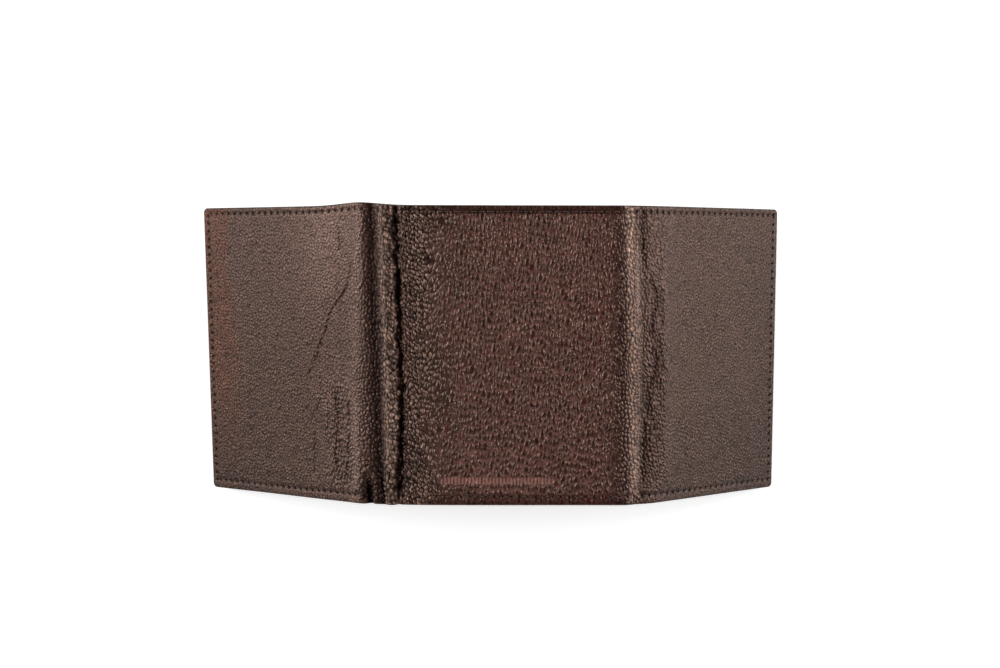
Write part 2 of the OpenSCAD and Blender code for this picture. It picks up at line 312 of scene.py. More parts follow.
# Fine creases in the leather: (u, v) points, width, depth.
HAIRLINES = [
    ([(-57.6, 37), (-58.4, 34), (-59.2, 29), (-60.9, 25), (-63, 21.5), (-66.4, 17.5), (-68.2, 15.8),
      (-70.2, 10.5), (-73.7, 2.5), (-76.0, -2.0), (-79.2, -8.0), (-81.0, -12.5)], 0.30, 0.32),
    ([(-64.6, 47), (-64.2, 42), (-64.4, 36)], 0.30, 0.22),
    ([(-72.8, -5), (-73.8, -14), (-75.2, -24)], 0.30, 0.16),
    ([(-76.0, -28), (-77.0, -37), (-76.2, -46)], 0.30, 0.20),
]
FOLDS = [
    ([(48.6, 52.5), (47.5, 47.0), (47.1, 43.5), (48.2, 40.0), (48.4, 34.5), (47.9, 31)], 0.5, 0.30),
    ([(50.2, 30), (52.4, 25.5), (54.2, 21.5), (53.8, 18.0), (52.4, 15.0), (51.6, 9.5), (51.9, 4.5)],
     0.6, 0.34),
    ([(51.9, 4.5), (53.2, -1.0), (52.6, -7.5), (50.8, -14.5), (49.4, -23.5)], 0.6, 0.34),
    ([(49.4, -23.5), (48.6, -32.5), (47.8, -42.5), (48.4, -47)], 0.6, 0.36),
    ([(55.4, 26), (56.6, 20.5), (56.0, 14.5), (57.4, 9)], 0.5, 0.22),
    ([(54.0, 8), (55.6, 1.5), (57.2, -4), (58.8, -8)], 0.5, 0.24),
    ([(53.2, -5), (55.0, -11), (57.4, -17)], 0.5, 0.22),
    ([(51.2, -17), (52.8, -24), (54.4, -31)], 0.5, 0.24),
    ([(50.2, -29), (50.8, -36), (51.0, -43)], 0.5, 0.24),
    ([(-52.8, -42.5), (-52.3, -47), (-51.6, -55)], 1.0, 0.9),
    ([(-47.4, -38), (-47.0, -43), (-45.4, -55)], 0.5, 0.7),
    ([(-43.9, -38), (-43.4, -46), (-43.2, -55)], 0.4, 0.4),
    ([(-60.4, -12), (-59.6, -24), (-60.8, -36), (-61.6, -49)], 0.5, 0.26),
    ([(-66.6, -12), (-65.8, -22), (-66.6, -33), (-65.4, -45)], 0.5, 0.26),
    ([(-70.2, -20), (-71.0, -27), (-70.2, -36)], 0.5, 0.18),
    ([(45.4, -50), (45.0, -55)], 0.7, 0.5),
]


def seam_holes(run):
    """Distance along a seam to its nearest hole, for stitches of one pitch."""
    return np.abs((run + STITCH / 2) % STITCH - STITCH / 2)


BAR_MIDDLE = (-5.2, -45.0)
BAR_HALF = (20.5, 1.2)
TICK_PITCH = 1.25


def tooled_bar(u, v):
    """1 inside the plain tooled bar near the bottom edge, falling to 0 over its rim, and the short
    upright ticks pressed into it."""
    half_l, half_w = BAR_HALF
    along_bar = np.maximum(np.abs(u - BAR_MIDDLE[0]) - (half_l - half_w), 0)
    d = np.hypot(along_bar, np.abs(v - BAR_MIDDLE[1])) - half_w
    bar = 1 - smoothstep(d, -0.25, 0.25)
    tick = np.abs((u + TICK_PITCH / 2) % TICK_PITCH - TICK_PITCH / 2)
    return bar, bar * (1 - smoothstep(tick, 0.18, 0.42))


# Places across the pattern that differ from the rest, as (middle u, width).
WRINKLED_LEFT = (-64.5, 7.5)
WRINKLED_RIGHT = (54.0, 7.0)
BESIDE_DEEP = (-33.0, 7.0)
BESIDE_FLAP = (-61.0, 9.0)
ON_SPINE = (-46.5, 5.0)
PUFF = (58.6, 3.6)
HOLLOW = (47.2, 4.3)
NOTCH = (-51.8, 1.4)        # where the bottom edge folds in between the left flap and its spine
NOTCH_SHADE = (-51.8, 1.5)
SHEEN = (-67.0, 15.0)
LIT_HEM = (-58.0, 4.0)


def close_to(u, place_u):
    return bell(u - place_u[0], place_u[1])


def edge_margin(u, v):
    return np.minimum(HALF_V - np.abs(v), np.minimum(u - LEFT_EDGE_U, RIGHT_EDGE_U - u))


def broad_shapes(u, v):
    """Shares of the soft shapes that worn folds give the whole thickness of the wallet."""
    wob = NOISE_A(u / 9, v / 9)
    return SimpleNamespace(
        wob=wob,
        deep_d=u - wander(v, DEEP) - 0.55 * NOISE_B(u / 6, v / 5),
        valley=bell(u - wander(v, VALLEY) - 0.4 * wob, 2.5),
        ridge=bell(u - wander(v, RIDGE) - 0.3 * wob, 2.0),
        bulge=bell(u - wander(v, FLAP_EDGE), 3.4),
        strip=bell(u - wander(v, RIGHT_STRIP), 1.9),
        puff=close_to(u, PUFF) * (1 - smoothstep(np.abs(v), 38, 52)),
        ends=0.55 + 0.45 * smoothstep(HALF_V - np.abs(v), 0.5, 7),
    )


# How far each broad shape rises or sinks, in millimetres.
WAVE_RISE, RIDGE_RISE, BULGE_RISE, PUFF_RISE = 0.32, 0.95, 0.45, 0.55
VALLEY_SINK, DEEP_SINK, BEYOND_SINK, HOLLOW_SINK, NOTCH_SINK = 0.75, 0.95, 2.0, 0.95, 2.2


def settle(u, v):
    """How far the wallet has risen or sunk from its flat panels, in millimetres: slow waves, the padded
    left spine between its valley and its deep crease, and the puffed start of the right flap."""
    s = broad_shapes(u, v)
    beyond = np.exp(-np.maximum(s.deep_d, 0) / 7.0) * smoothstep(s.deep_d, -1.5, 0.5)
    inland = smoothstep(np.minimum(u - LEFT_EDGE_U, RIGHT_EDGE_U - u), 0, 14)
    notch = close_to(u, NOTCH) * smoothstep(-v, 41, 51)
    rise = WAVE_RISE * NOISE_A(u / 26 + 3, v / 26) * inland + RIDGE_RISE * s.ridge * s.ends
    rise = rise + BULGE_RISE * s.bulge + PUFF_RISE * s.puff
    sink = VALLEY_SINK * s.valley + DEEP_SINK * bell(s.deep_d, 1.25) * s.ends + BEYOND_SINK * beyond
    return rise - sink - HOLLOW_SINK * close_to(u, HOLLOW) - NOTCH_SINK * notch


def zones(u, v):
    """Shares of the places where the grain differs. coarse and pull are 1 on the centre panel and the
    left spine and 0 out on the flaps, and pull rises again where the flaps are wrinkled."""
    coarse = smoothstep(u, -60, -44) * (1 - smoothstep(u, 38, 52))
    frayed = 5 * NOISE_B(u / 7, v / 7)
    left = 1.25 * bell(u - WRINKLED_LEFT[0] + frayed, WRINKLED_LEFT[1]) * smoothstep(-v + frayed, -4, 26)
    left = left * (1 - smoothstep(-v, 46, 53))
    right = close_to(u, WRINKLED_RIGHT) * (0.55 + 0.45 * smoothstep(-v, -30, 10))
    right = right * (1 - smoothstep(-v, 44, 52))
    smooth_left = bell(u - wander(v, FLAP_EDGE), 1.3) * smoothstep(-v, 12, 24) * (1 - smoothstep(-v, 46, 51))
    smooth_right = bell(u - wander(v, RIGHT_SMOOTH), 1.5) * smoothstep(-v, -50, -30)
    return SimpleNamespace(
        coarse=coarse,
        pull=np.clip(coarse + left + right, 0, 1.25),
        wrinkled=np.clip(left + right, 0, 1),
        wrinkled_right=right,
        smooth_strip=np.clip(smooth_left + smooth_right, 0, 1),
        middle=smoothstep(u + 6 * NOISE_A(u / 8, v / 8), -38, -12) * (1 - smoothstep(u, 30, 43)),
        long_share=smoothstep(u + 6 * NOISE_A(u / 6, v / 6), -32, -27) * (1 - smoothstep(u, 34, 40)),
    )


# Kinds of pebble: width, height, lean to the right, and shoulders as a share of the width.
LONG_PEBBLES = (1.5, 2.9, 0.22, 0.28)       # on the middle of the centre panel
ROUND_PEBBLES = (1.35, 1.65, -0.10, 0.30)   # beside the deep crease
FINE_PEBBLES = (1.2, 1.25, 0.30, 0.32)      # on the flaps
SPLIT_PEBBLES = (0.85, 1.25, 0.24, 0.28)    # a second, smaller grain on all of them
BIG_RISE, FINE_RISE, SPLIT_RISE = 0.41, 0.17, 0.12


def grain_fields(u, v, zone, wob):
    """The grain's height, the tops of its pebbles for shading, each pebble's random number, the pale net
    between pebbles on the middle of the centre panel, which is partly a paler tan and partly painted
    highlight, and the grain's gaps."""
    pull, middle, long_share = zone.pull, zone.middle, zone.long_share
    warp_u = u + 0.50 * NOISE_B(u / 3.1, v / 3.1) + 0.9 * NOISE_C(u / 11, v / 11)
    warp_v = v + 0.50 * NOISE_C(u / 3.3 + 9, v / 3.3) + 0.9 * NOISE_B(u / 12 + 5, v / 12)
    warp_v = warp_v + 1.5 * NOISE_D(u / 3.2, v / 15)
    long_top, long_lot = pebbles(warp_u, warp_v, LONG_PEBBLES, SEED)
    round_top, round_lot = pebbles(warp_u, warp_v, ROUND_PEBBLES, SEED + 1)
    fine_top, fine_lot = pebbles(warp_u, warp_v, FINE_PEBBLES, SEED + 2)
    split_top, _ = pebbles(warp_u, warp_v, SPLIT_PEBBLES, SEED + 3)
    big = long_top * long_share + round_top * (1 - long_share)
    big_lot = long_lot * long_share + round_lot * (1 - long_share)
    scratch = bell(NOISE_D((u + 0.7 * v) / 0.95, (v - 0.7 * u) / 5.5), 0.13) * middle
    scratch = scratch * smoothstep(wob, -0.2, 0.5)
    calm = (1 - 0.93 * zone.smooth_strip) * (0.35 + 0.65 * smoothstep(edge_margin(u, v), 0.6, 4.2))
    tilt = 0.06 * NOISE_A(u / 1.3, v / 1.5) * pull + 0.05 * NOISE_B(u / 2.1, v / 2.4) * (1 - pull)
    grain = BIG_RISE * big * pull * (1 + 0.25 * close_to(u, BESIDE_DEEP)) + FINE_RISE * fine_top * (1 - pull)
    grain = grain * (1 + 0.35 * close_to(u, BESIDE_FLAP) * smoothstep(v, -25, 35))
    grain = (grain + SPLIT_RISE * split_top * (0.4 + 0.6 * pull) + tilt - 0.08 * scratch) * calm
    net = 1.4 * np.clip(1 - long_top, 0, 1) ** 4 + 0.30 * np.clip(1 - split_top, 0, 1) ** 4 + 0.6 * scratch
    return SimpleNamespace(
        height=grain,
        big=big,
        tone=big * pull + fine_top * np.clip(1 - pull, 0, 1),
        lot=pull * big_lot + (1 - pull) * fine_lot,
        net=net * middle * calm,
        gaps=np.clip(1.15 - np.maximum(big, fine_top * (1 - pull)), 0, 1),
    )


def drawn_creases(u, v, gaps):
    """How far the hairlines and folds dip, and their share of the shading. A fold breaks up into cracks
    that follow the grain's gaps."""
    depth_at, shade = np.zeros(u.shape), np.zeros(u.shape)
    for lines, ragged_share in ((HAIRLINES, 0.15), (FOLDS, 0.80)):
        for points, width, depth in lines:
            low, high = np.min(points, axis=0) - CREASE_REACH, np.max(points, axis=0) + CREASE_REACH
            here = (u > low[0]) & (u < high[0]) & (v > low[1]) & (v < high[1])
            if not here.any():
                continue
            hu, hv = u[here], v[here]
            shaken = hu + 0.5 * NOISE_B(hu / 2.2, hv / 2.2) + 0.45 * NOISE_D(hu, hv / 1.1)
            d, share = line_distance(shaken, hv, points)
            taper = smoothstep(share, 0, 0.16) * (1 - smoothstep(share, 0.84, 1.0))
            if points[-1][1] <= -54:    # it runs off the bottom edge
                taper = smoothstep(share, 0, 0.35)
            crack = bell(d, 1.8 * width) * smoothstep(gaps[here], 0.45, 0.95)
            dip = ((1 - ragged_share) * bell(d, width) + ragged_share * crack) * taper
            depth_at[here] += depth * dip
            shade[here] = np.maximum(shade[here], np.clip(dip * min(1, 2.4 * depth), 0, 1))
    return depth_at, shade


def seam_fields(u, v):
    """Seams: a shallow channel with a hole at each end of every stitch. None crosses the left fold's
    bottom."""
    top_d = np.abs(v - (HALF_V - SEAM_TOP))
    bottom_d = np.abs(v + HALF_V - SEAM_BOTTOM)
    left_d, right_d = np.abs(u - LEFT_EDGE_U - SEAM_SIDE), np.abs(RIGHT_EDGE_U - SEAM_SIDE - u)
    inside_u = (u > LEFT_EDGE_U + SEAM_SIDE - 0.3) & (u < RIGHT_EDGE_U - SEAM_SIDE + 0.3)
    inside_v = (v > -HALF_V + SEAM_BOTTOM - 0.3) & (v < HALF_V - SEAM_TOP + 0.3)
    swallowed = (u > SWALLOWED[0]) & (u < SWALLOWED[1])
    channel, hole = np.zeros(u.shape), np.zeros(u.shape)
    for d, run, where in (
        (top_d, u, inside_u),
        (bottom_d, u, inside_u & ~swallowed),
        (left_d, v, inside_v),
        (right_d, v, inside_v),
    ):
        channel = np.maximum(channel, np.where(where, bell(d, 0.75), 0))
        hole = np.maximum(hole, np.where(where, bell(np.hypot(d, seam_holes(run)), 0.44), 0))
    return channel, hole, bottom_d


def hide_fields(u, v):
    """The outer face's height and its colouring, at points of the pattern."""
    zone, shape = zones(u, v), broad_shapes(u, v)
    grain = grain_fields(u, v, zone, shape.wob)
    big, strip, ridge, valley = grain.big, shape.strip, shape.ridge, shape.valley
    channel, hole, bottom_d = seam_fields(u, v)
    bar, ticks = tooled_bar(u, v)

    # The deep crease, painted dark as shade, with lit flecks of leather that cross it, painted as highlights.
    ragged = shape.deep_d - 1.1 * NOISE_C(u / 1.5, v / 1.7)
    deep_w = 1.45 + 0.35 * NOISE_A(u / 3, v / 4) + 0.55 * smoothstep(-v, 0, 45)
    flecks = smoothstep(NOISE_D(u / 0.8, v / 1.5), -0.1, 0.35) * smoothstep(np.abs(ragged + 0.3), 0.1, 0.7)
    deep = bell(ragged, deep_w) * shape.ends * (1 - 0.85 * flecks)
    flecks = flecks * bell(ragged, 2.0)
    crease_depth, creased = drawn_creases(u, v, grain.gaps)

    pebbled = grain.height * (1 - 0.7 * bar) * (1 - 0.75 * channel)
    sunk = 0.60 * deep + crease_depth + 0.16 * channel + 0.55 * hole + 0.16 * bar + 0.16 * ticks

    # Colouring, as shares that leather_tint() mixes: dyes, tooling, painted shade and painted highlights.
    beside_deep = close_to(u, BESIDE_DEEP)
    notch = close_to(u, NOTCH_SHADE) * smoothstep(-v, 43, 48)
    top_spot = strip * smoothstep(v, 20, 46)
    sheen = close_to(u, SHEEN) * smoothstep(v, 0, 45)
    # Painted highlight: a paler, greyer tan on the ridge, the spine, the pebble tops beside the deep crease,
    # the right strip, the flap's bulge, the smooth strips and the lit flecks.
    painted_highlight = 1.4 * ridge + 0.35 * close_to(u, ON_SPINE) + 1.2 * beside_deep * big + 1.1 * strip + 0.9 * top_spot
    painted_highlight = painted_highlight + 0.35 * shape.bulge + 0.8 * zone.smooth_strip + 1.2 * flecks
    # Painted highlight that brightens the colour: the right strip and its top, the ridge, lit flecks, the
    # right wrinkles, the left flap's sheen, pebble tops beside the deep crease, the lit hem and the bottom
    # seam between its holes.
    lit = 1.9 * strip * np.clip(0.3 + big, 0, 1.1) + 1.1 * top_spot + 0.9 * ridge + 1.5 * flecks
    lit = lit + 0.25 * np.clip(zone.wrinkled_right, 0, 1) + 0.3 * sheen + 0.55 * beside_deep * big
    lit = lit + 1.6 * bell(v + HALF_V - 1.6, 1.2) * close_to(u, LIT_HEM)
    lit = lit + 0.9 * bell(bottom_d, 0.8) * zone.coarse * (1 - hole)
    red_centre = smoothstep(u, 14, 34) * (1 - smoothstep(u, 36, 44)) * (0.75 + 0.25 * NOISE_D(u / 14, v / 14))
    from_edge = u - LEFT_EDGE_U + 1.5 * NOISE_C(u / 9, v / 14)
    warm_until = 14.0 + 6 * smoothstep(-v, -20, 10)
    # Painted light falloff: the flaps are a little paler towards the mouth edge and towards the spines.
    paler = 0.10 * v / HALF_V + 0.07 - 0.14 * smoothstep(np.abs(u), 55, 115)
    return SimpleNamespace(
        height=np.maximum(pebbled - sunk, DEEPEST),
        grain=grain.tone,
        lot=grain.lot,
        net=grain.net * (1 - channel),
        coarse=zone.pull,
        middle=zone.middle,
        wrinkled=zone.wrinkled,
        beside_deep=beside_deep,
        # Painted shade in the deep crease, the valley, the drawn creases, the stitch holes and the notch.
        painted_shade=np.clip(0.95 * deep + 0.80 * valley + 0.95 * creased + 1.1 * hole + notch, 0, 1),
        painted_highlight=np.clip(painted_highlight, 0, 1.5),
        lit=lit,
        sheen=sheen,
        red=np.clip(0.25 * zone.coarse + 0.65 * red_centre + 0.65 * valley + 0.5 * bar, 0, 1),
        warm=(1 - smoothstep(from_edge, 11.5, warm_until)) * smoothstep(v, -60, 0),
        cloud=NOISE_D(u / 17 + 2, v / 17) * 0.6 + NOISE_A(u / 6 + 7, v / 6) * 0.4,
        edge=1 - smoothstep(edge_margin(u, v), 0.15, 0.75),
        fall=(1 - zone.coarse) * paler,
        pressed=0.10 * bar + 0.90 * ticks,
    )


# Leather dyes, and the colours of painted shade and painted highlights, as linear colours.
DYE = np.array([0.046, 0.019, 0.012])
DYE_DEEP = np.array([0.020, 0.0050, 0.0032])
DYE_RED = np.array([0.030, 0.0030, 0.0020])
DYE_WARM = np.array([0.118, 0.040, 0.020])
EDGE_DYE_AND_SHADE = np.array([0.006, 0.0025, 0.002])
PAINTED_HIGHLIGHT_TAN = np.array([0.118, 0.075, 0.056])
NET_TAN_AND_HIGHLIGHT = np.array([0.240, 0.105, 0.082])
DYE_PRESSED = np.array([0.400, 0.190, 0.160])


def mix(a, b, share):
    return a * (1 - share[..., None]) + b * share[..., None]


def leather_tint(f):
    """The hide's colour at each point: dyes, painted shade and painted highlights, with its gloss as a fourth
    value.
    """
    tint = np.broadcast_to(DYE, f.height.shape + (3,))
    for dye, share in (
        (DYE_DEEP, f.coarse),
        (DYE_RED, f.red),
        (DYE_WARM, 0.95 * f.warm),
        (DYE_RED, 0.55 * f.wrinkled),
        (PAINTED_HIGHLIGHT_TAN, 0.55 * f.painted_highlight),
    ):
        tint = mix(tint, dye, share)
    # The tone holds each pebble's own tone, the flaps' painted light falloff, painted shade in the gaps
    # between pebbles (deeper where the leather is wrinkled), and the painted highlights of lit.
    gap = 1 - np.clip(f.grain / 0.48, 0, 1)
    tone = 1 + 0.18 * f.cloud + (f.lot - 0.5) * (0.62 + 0.86 * f.coarse) + 2.0 * f.fall
    tone = tone * (1 - (0.88 - 0.10 * f.beside_deep) * gap)
    tone = tone * (1 - 0.9 * f.wrinkled * smoothstep(gap, 0.4, 0.9)) * (1 + f.lit)
    tint = tint * tone[..., None]
    # The pale net between pebbles: partly a paler tan and partly painted highlight on the pebbles' sides.
    tint = mix(tint, NET_TAN_AND_HIGHLIGHT, np.clip(0.42 * f.net, 0, 0.9))
    tint = mix(tint, DYE_PRESSED, 0.8 * f.pressed)
    # Painted shade in creases and holes, and the dark edge dye along the outline.
    tint = mix(tint, EDGE_DYE_AND_SHADE, np.clip(0.9 * f.painted_shade + 0.75 * f.edge, 0, 1))
    gloss = (1 - 0.92 * f.painted_shade) * (1 - 0.65 * gap * np.clip(1 - f.net, 0, 1)) * (1 - 0.5 * f.edge)
    gloss = gloss * (1 - 0.60 * f.middle * smoothstep(f.grain, 0.45, 0.9)) * (1 - 0.22 * f.middle)
    gloss = gloss * (0.62 + 0.38 * np.clip(f.coarse + f.painted_highlight + f.sheen, 0, 1)) * (1 - 0.25 * f.warm)
    return np.concatenate([tint, gloss[..., None]], -1)


# ---- Mesh building ----

def mesh_object(name, points, faces, material, tint=None, uv=None):
    mesh = bpy.data.meshes.new(name)
    mesh.from_pydata([tuple(p) for p in points], [], faces)
    mesh.polygons.foreach_set("use_smooth", [True] * len(mesh.polygons))
    if uv is not None:
        corner = np.zeros(len(mesh.loops), int)
        mesh.loops.foreach_get("vertex_index", corner)
        layer = mesh.uv_layers.new(name="UVMap")
        layer.data.foreach_set("uv", uv[corner].astype(np.float32).ravel())
    if tint is not None:
        layer = mesh.color_attributes.new("tint", "FLOAT_COLOR", "POINT")
        if tint.shape[1] == 3:
            tint = np.c_[tint, np.ones(len(tint))]
        layer.data.foreach_set("color", tint.astype(np.float32).ravel())
    mesh.materials.append(material)
    mesh.validate()
    obj = bpy.data.objects.new(name, mesh)
    bpy.context.scene.collection.objects.link(obj)
    return obj


def grid_faces(rows, columns, start=0, flip=False):
    i, j = np.meshgrid(np.arange(rows - 1), np.arange(columns - 1), indexing="ij")
    a = start + i * columns + j
    quads = np.stack([a, a + columns, a + columns + 1, a + 1], -1).reshape(-1, 4)
    return (quads[:, ::-1] if flip else quads).tolist()


def band(before, after, flip=False):
    """Quads between two closed rings of point numbers, one after the other."""
    ring = [before, after, np.roll(after, -1), np.roll(before, -1)]
    if flip:
        ring = [ring[0], ring[3], ring[2], ring[1]]
    return np.stack(ring, -1).tolist()


class Skin:
    """Collects a piece's points, their places on the pattern, their tints, and its faces."""

    def __init__(self):
        self.points, self.pattern, self.tints, self.faces = [], [], [], []
        self.count = 0

    def add(self, u, v, h, tint, grain_u=None):
        """Adds points of the settled wallet and returns their numbers. They read the fine grain at
        grain_u, where that isn't u."""
        u, v, h = np.ravel(u), np.ravel(v), np.ravel(h)
        self.points.append(place(u, v, h))
        self.pattern.append(np.stack([u if grain_u is None else grain_u, v], -1))
        self.tints.append(tint)
        self.count += len(u)
        return np.arange(self.count - len(u), self.count)

    def make(self, name, material):
        tint = None if self.tints[0] is None else np.concatenate(self.tints)
        uv = np.concatenate(self.pattern) / UV_UNIT + 0.5
        return mesh_object(name, np.concatenate(self.points), self.faces, material, tint, uv)


def blend(obj):
    """Bakes the piece's place in the world into its points."""
    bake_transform(obj)


def border_loop(rows, columns):
    """Indices of a grid's border, once round."""
    loop = [(i, 0) for i in range(rows)]
    loop += [(rows - 1, j) for j in range(1, columns)]
    loop += [(i, columns - 1) for i in range(rows - 2, -1, -1)]
    loop += [(0, j) for j in range(columns - 2, 0, -1)]
    return loop


# ---- Materials ----

class Shader:
    """A small helper for building one node material."""

    def __init__(self, name, **settings):
        self.material = bpy.data.materials.new(name)
        self.material.use_nodes = True
        self.nodes = self.material.node_tree.nodes
        self.links = self.material.node_tree.links
        self.surface = self.nodes["Principled BSDF"]
        for key, value in settings.items():
            self.surface.inputs[key.replace("_", " ")].default_value = value

    def add(self, kind, inputs=None, **settings):
        node = self.nodes.new(kind)
        for key, value in settings.items():
            setattr(node, key, value)
        for key, value in (inputs or {}).items():
            if isinstance(value, bpy.types.NodeSocket):
                self.links.new(value, node.inputs[key])
            else:
                node.inputs[key].default_value = value
        return node

    def feed(self, key, socket):
        self.links.new(socket, self.surface.inputs[key])

    def pattern(self, scale, kind="ShaderNodeTexNoise", **inputs):
        """A texture in the piece's own pattern coordinates, with scale in features per millimetre."""
        where = self.add("ShaderNodeUVMap", uv_map="UVMap")
        sized = self.add("ShaderNodeMapping", {"Vector": where.outputs["UV"]})
        sized.inputs["Scale"].default_value = (UV_UNIT * scale, UV_UNIT * scale, 1)
        made = self.add(kind, {"Vector": sized.outputs["Vector"]})
        made.inputs["Scale"].default_value = 1
        for key, value in inputs.items():
            made.inputs[key].default_value = value
        return made

    def place_on_pattern(self):
        """Sockets X and Y of the piece's pattern coordinates."""
        where = self.add("ShaderNodeUVMap", uv_map="UVMap")
        return self.add("ShaderNodeSeparateXYZ", {"Vector": where.outputs["UV"]}).outputs

    def ramp(self, socket, low, high, to_low, to_high):
        node = self.add("ShaderNodeMapRange", {"Value": socket})
        for key, value in (("From Min", low), ("From Max", high), ("To Min", to_low), ("To Max", to_high)):
            node.inputs[key].default_value = value
        return node.outputs["Result"]

    def scaled(self, colour, factor):
        node = self.add("ShaderNodeMix", data_type="RGBA", blend_type="MULTIPLY")
        node.inputs["Factor"].default_value = 1
        self.links.new(colour, node.inputs[6])
        self.links.new(factor, node.inputs[7])
        return node.outputs[2]

    def bump(self, height, distance, strength=1.0, normal=None):
        inputs = {"Height": height, "Distance": distance, "Strength": strength}
        if normal is not None:
            inputs["Normal"] = normal
        return self.add("ShaderNodeBump", inputs).outputs["Normal"]


SHEEN_TINT = (1.0, 0.66, 0.54, 1)
WAXED = 0.11                        # how much less rough the centre panel is
WAXED_U = ((-50, -38), (34, 46))


def hide_leather():
    """Pebbled cowhide: a painted tint on the pebbles that holds dyes, painted shade and painted highlights,
    pores and a fine second grain from nodes.
    """
    s = Shader("outer_leather")
    s.surface.inputs["Specular Tint"].default_value = SHEEN_TINT
    painted = s.add("ShaderNodeVertexColor", layer_name="tint")
    tint = painted.outputs["Color"]
    s.feed("Specular IOR Level", s.ramp(painted.outputs["Alpha"], 0, 1, 0.05, 1.0))
    pores = s.pattern(1.3, "ShaderNodeTexVoronoi")
    haze = s.pattern(0.9, Detail=5.0)
    speck = s.pattern(4.0, Detail=3.0)
    s.feed("Base Color", s.scaled(tint, s.ramp(haze.outputs["Fac"], 0.3, 0.7, 0.84, 1.16)))
    rough = s.ramp(haze.outputs["Fac"], 0.3, 0.7, 0.37, 0.45)
    # The centre panel is waxed smoother, between these places across the pattern.
    across = s.place_on_pattern()["X"]
    left, right = ([0.5 + u / UV_UNIT for u in ends] for ends in WAXED_U)
    risen, fallen = s.ramp(across, *left, 0, 1), s.ramp(across, *right, 1, 0)
    waxed = s.add("ShaderNodeMath", {0: risen, 1: fallen}, operation="MULTIPLY").outputs[0]
    eased = s.add("ShaderNodeMath", {0: waxed, 1: -WAXED, 2: rough}, operation="MULTIPLY_ADD").outputs[0]
    s.feed("Roughness", eased)
    fine = s.bump(pores.outputs["Distance"], 0.00014, 0.9)
    s.feed("Normal", s.bump(speck.outputs["Fac"], 0.00007, 0.8, fine))
    return s.material


def inner_leather():
    """Smoother, thinner leather with a fine close grain."""
    s = Shader("inner_leather", Roughness=0.45, Specular_IOR_Level=0.45)
    grain = s.pattern(1.1, "ShaderNodeTexVoronoi")
    haze = s.pattern(0.12, Detail=6.0)
    speck = s.pattern(3.0, Detail=4.0)
    tint = s.add("ShaderNodeVertexColor", layer_name="tint").outputs["Color"]
    s.feed("Base Color", s.scaled(tint, s.ramp(haze.outputs["Fac"], 0.3, 0.7, 0.8, 1.2)))
    s.feed("Roughness", s.ramp(grain.outputs["Distance"], 0.0, 0.8, 0.38, 0.52))
    fine = s.bump(grain.outputs["Distance"], 0.00010, 0.7)
    s.feed("Normal", s.bump(speck.outputs["Fac"], 0.00005, 0.6, fine))
    return s.material


def woven(name, colour, threads):
    """Plain woven cloth with that many threads to the millimetre."""
    s = Shader(name, Roughness=0.85, Specular_IOR_Level=0.2, Sheen_Weight=0.3, Sheen_Roughness=0.5)
    apart = s.place_on_pattern()
    waves = []
    for axis in ("X", "Y"):
        turn = s.add("ShaderNodeMath", {0: apart[axis], 1: UV_UNIT * threads * 2 * math.pi},
                     operation="MULTIPLY")
        waves.append(s.add("ShaderNodeMath", {0: turn.outputs[0]}, operation="SINE").outputs[0])
    weave = s.add("ShaderNodeMath", {0: waves[0], 1: waves[1]}, operation="MULTIPLY").outputs[0]
    haze = s.pattern(0.2, Detail=5.0)
    shade = s.add("ShaderNodeRGB")
    shade.outputs[0].default_value = (*colour, 1)
    dusty = s.scaled(shade.outputs[0], s.ramp(haze.outputs["Fac"], 0.3, 0.7, 0.8, 1.2))
    s.feed("Base Color", s.scaled(dusty, s.ramp(weave, -1, 1, 0.6, 1.3)))
    s.feed("Normal", s.bump(weave, 0.00008))
    return s.material


def sewing_thread():
    """Waxed thread with a twist that runs along each stitch."""
    s = Shader("thread", Roughness=0.6, Specular_IOR_Level=0.35, Sheen_Weight=0.2)
    where = s.add("ShaderNodeUVMap", uv_map="UVMap")
    wave = s.add("ShaderNodeTexWave", {"Vector": where.outputs["UV"], "Scale": 1.0, "Distortion": 0.4})
    shade = s.add("ShaderNodeValToRGB", {"Fac": wave.outputs["Fac"]})
    shade.color_ramp.elements[0].color = (0.045, 0.022, 0.017, 1)
    shade.color_ramp.elements[1].color = (0.150, 0.080, 0.062, 1)
    s.feed("Base Color", shade.outputs["Color"])
    s.feed("Normal", s.bump(wave.outputs["Fac"], 0.00006))
    return s.material


def clear_film():
    """Clear plastic with faint scuffs."""
    s = Shader("window_film", Roughness=0.08, Transmission_Weight=1.0, IOR=1.46)
    s.surface.inputs["Base Color"].default_value = (0.92, 0.94, 0.95, 1)
    scuffs = s.pattern(0.25, Detail=8.0)
    s.feed("Roughness", s.ramp(scuffs.outputs["Fac"], 0.35, 0.7, 0.05, 0.22))
    return s.material


OUTER, INNER, THREAD, FILM_MATERIAL = hide_leather(), inner_leather(), sewing_thread(), clear_film()
LINING_CLOTH = woven("lining_cloth", (0.030, 0.020, 0.017), 2.2)
POCKET_CLOTH = woven("pocket_cloth", (0.022, 0.016, 0.014), 2.6)

# ---- The hide ----

QUADS = 84000        # the most quads in the face of one stretch of hide
GRID_V = 0.33
RIM_R = (HIDE_TOP - HEM_BACK) / 2
RIM_STEPS = 6
HEM = (1.5, 4.0, 7.5)
CORNER_R = 0.9
BACK_SKIP = 8
RING_DRIFT = 0.9     # each ring reads the fine grain this much further on, so that it isn't smeared


def axis_steps(low, high, step):
    return np.linspace(low, high, max(2, int(round((high - low) / step)) + 1))


def rim_turns(r, steps, count):
    """Points of a half circle from an edge's face to its back, as (reach outwards, share of the way)."""
    turns = [math.pi * k / steps for k in range(1, count + 1)]
    return [(r * math.sin(a), (1 - math.cos(a)) / 2) for a in turns]


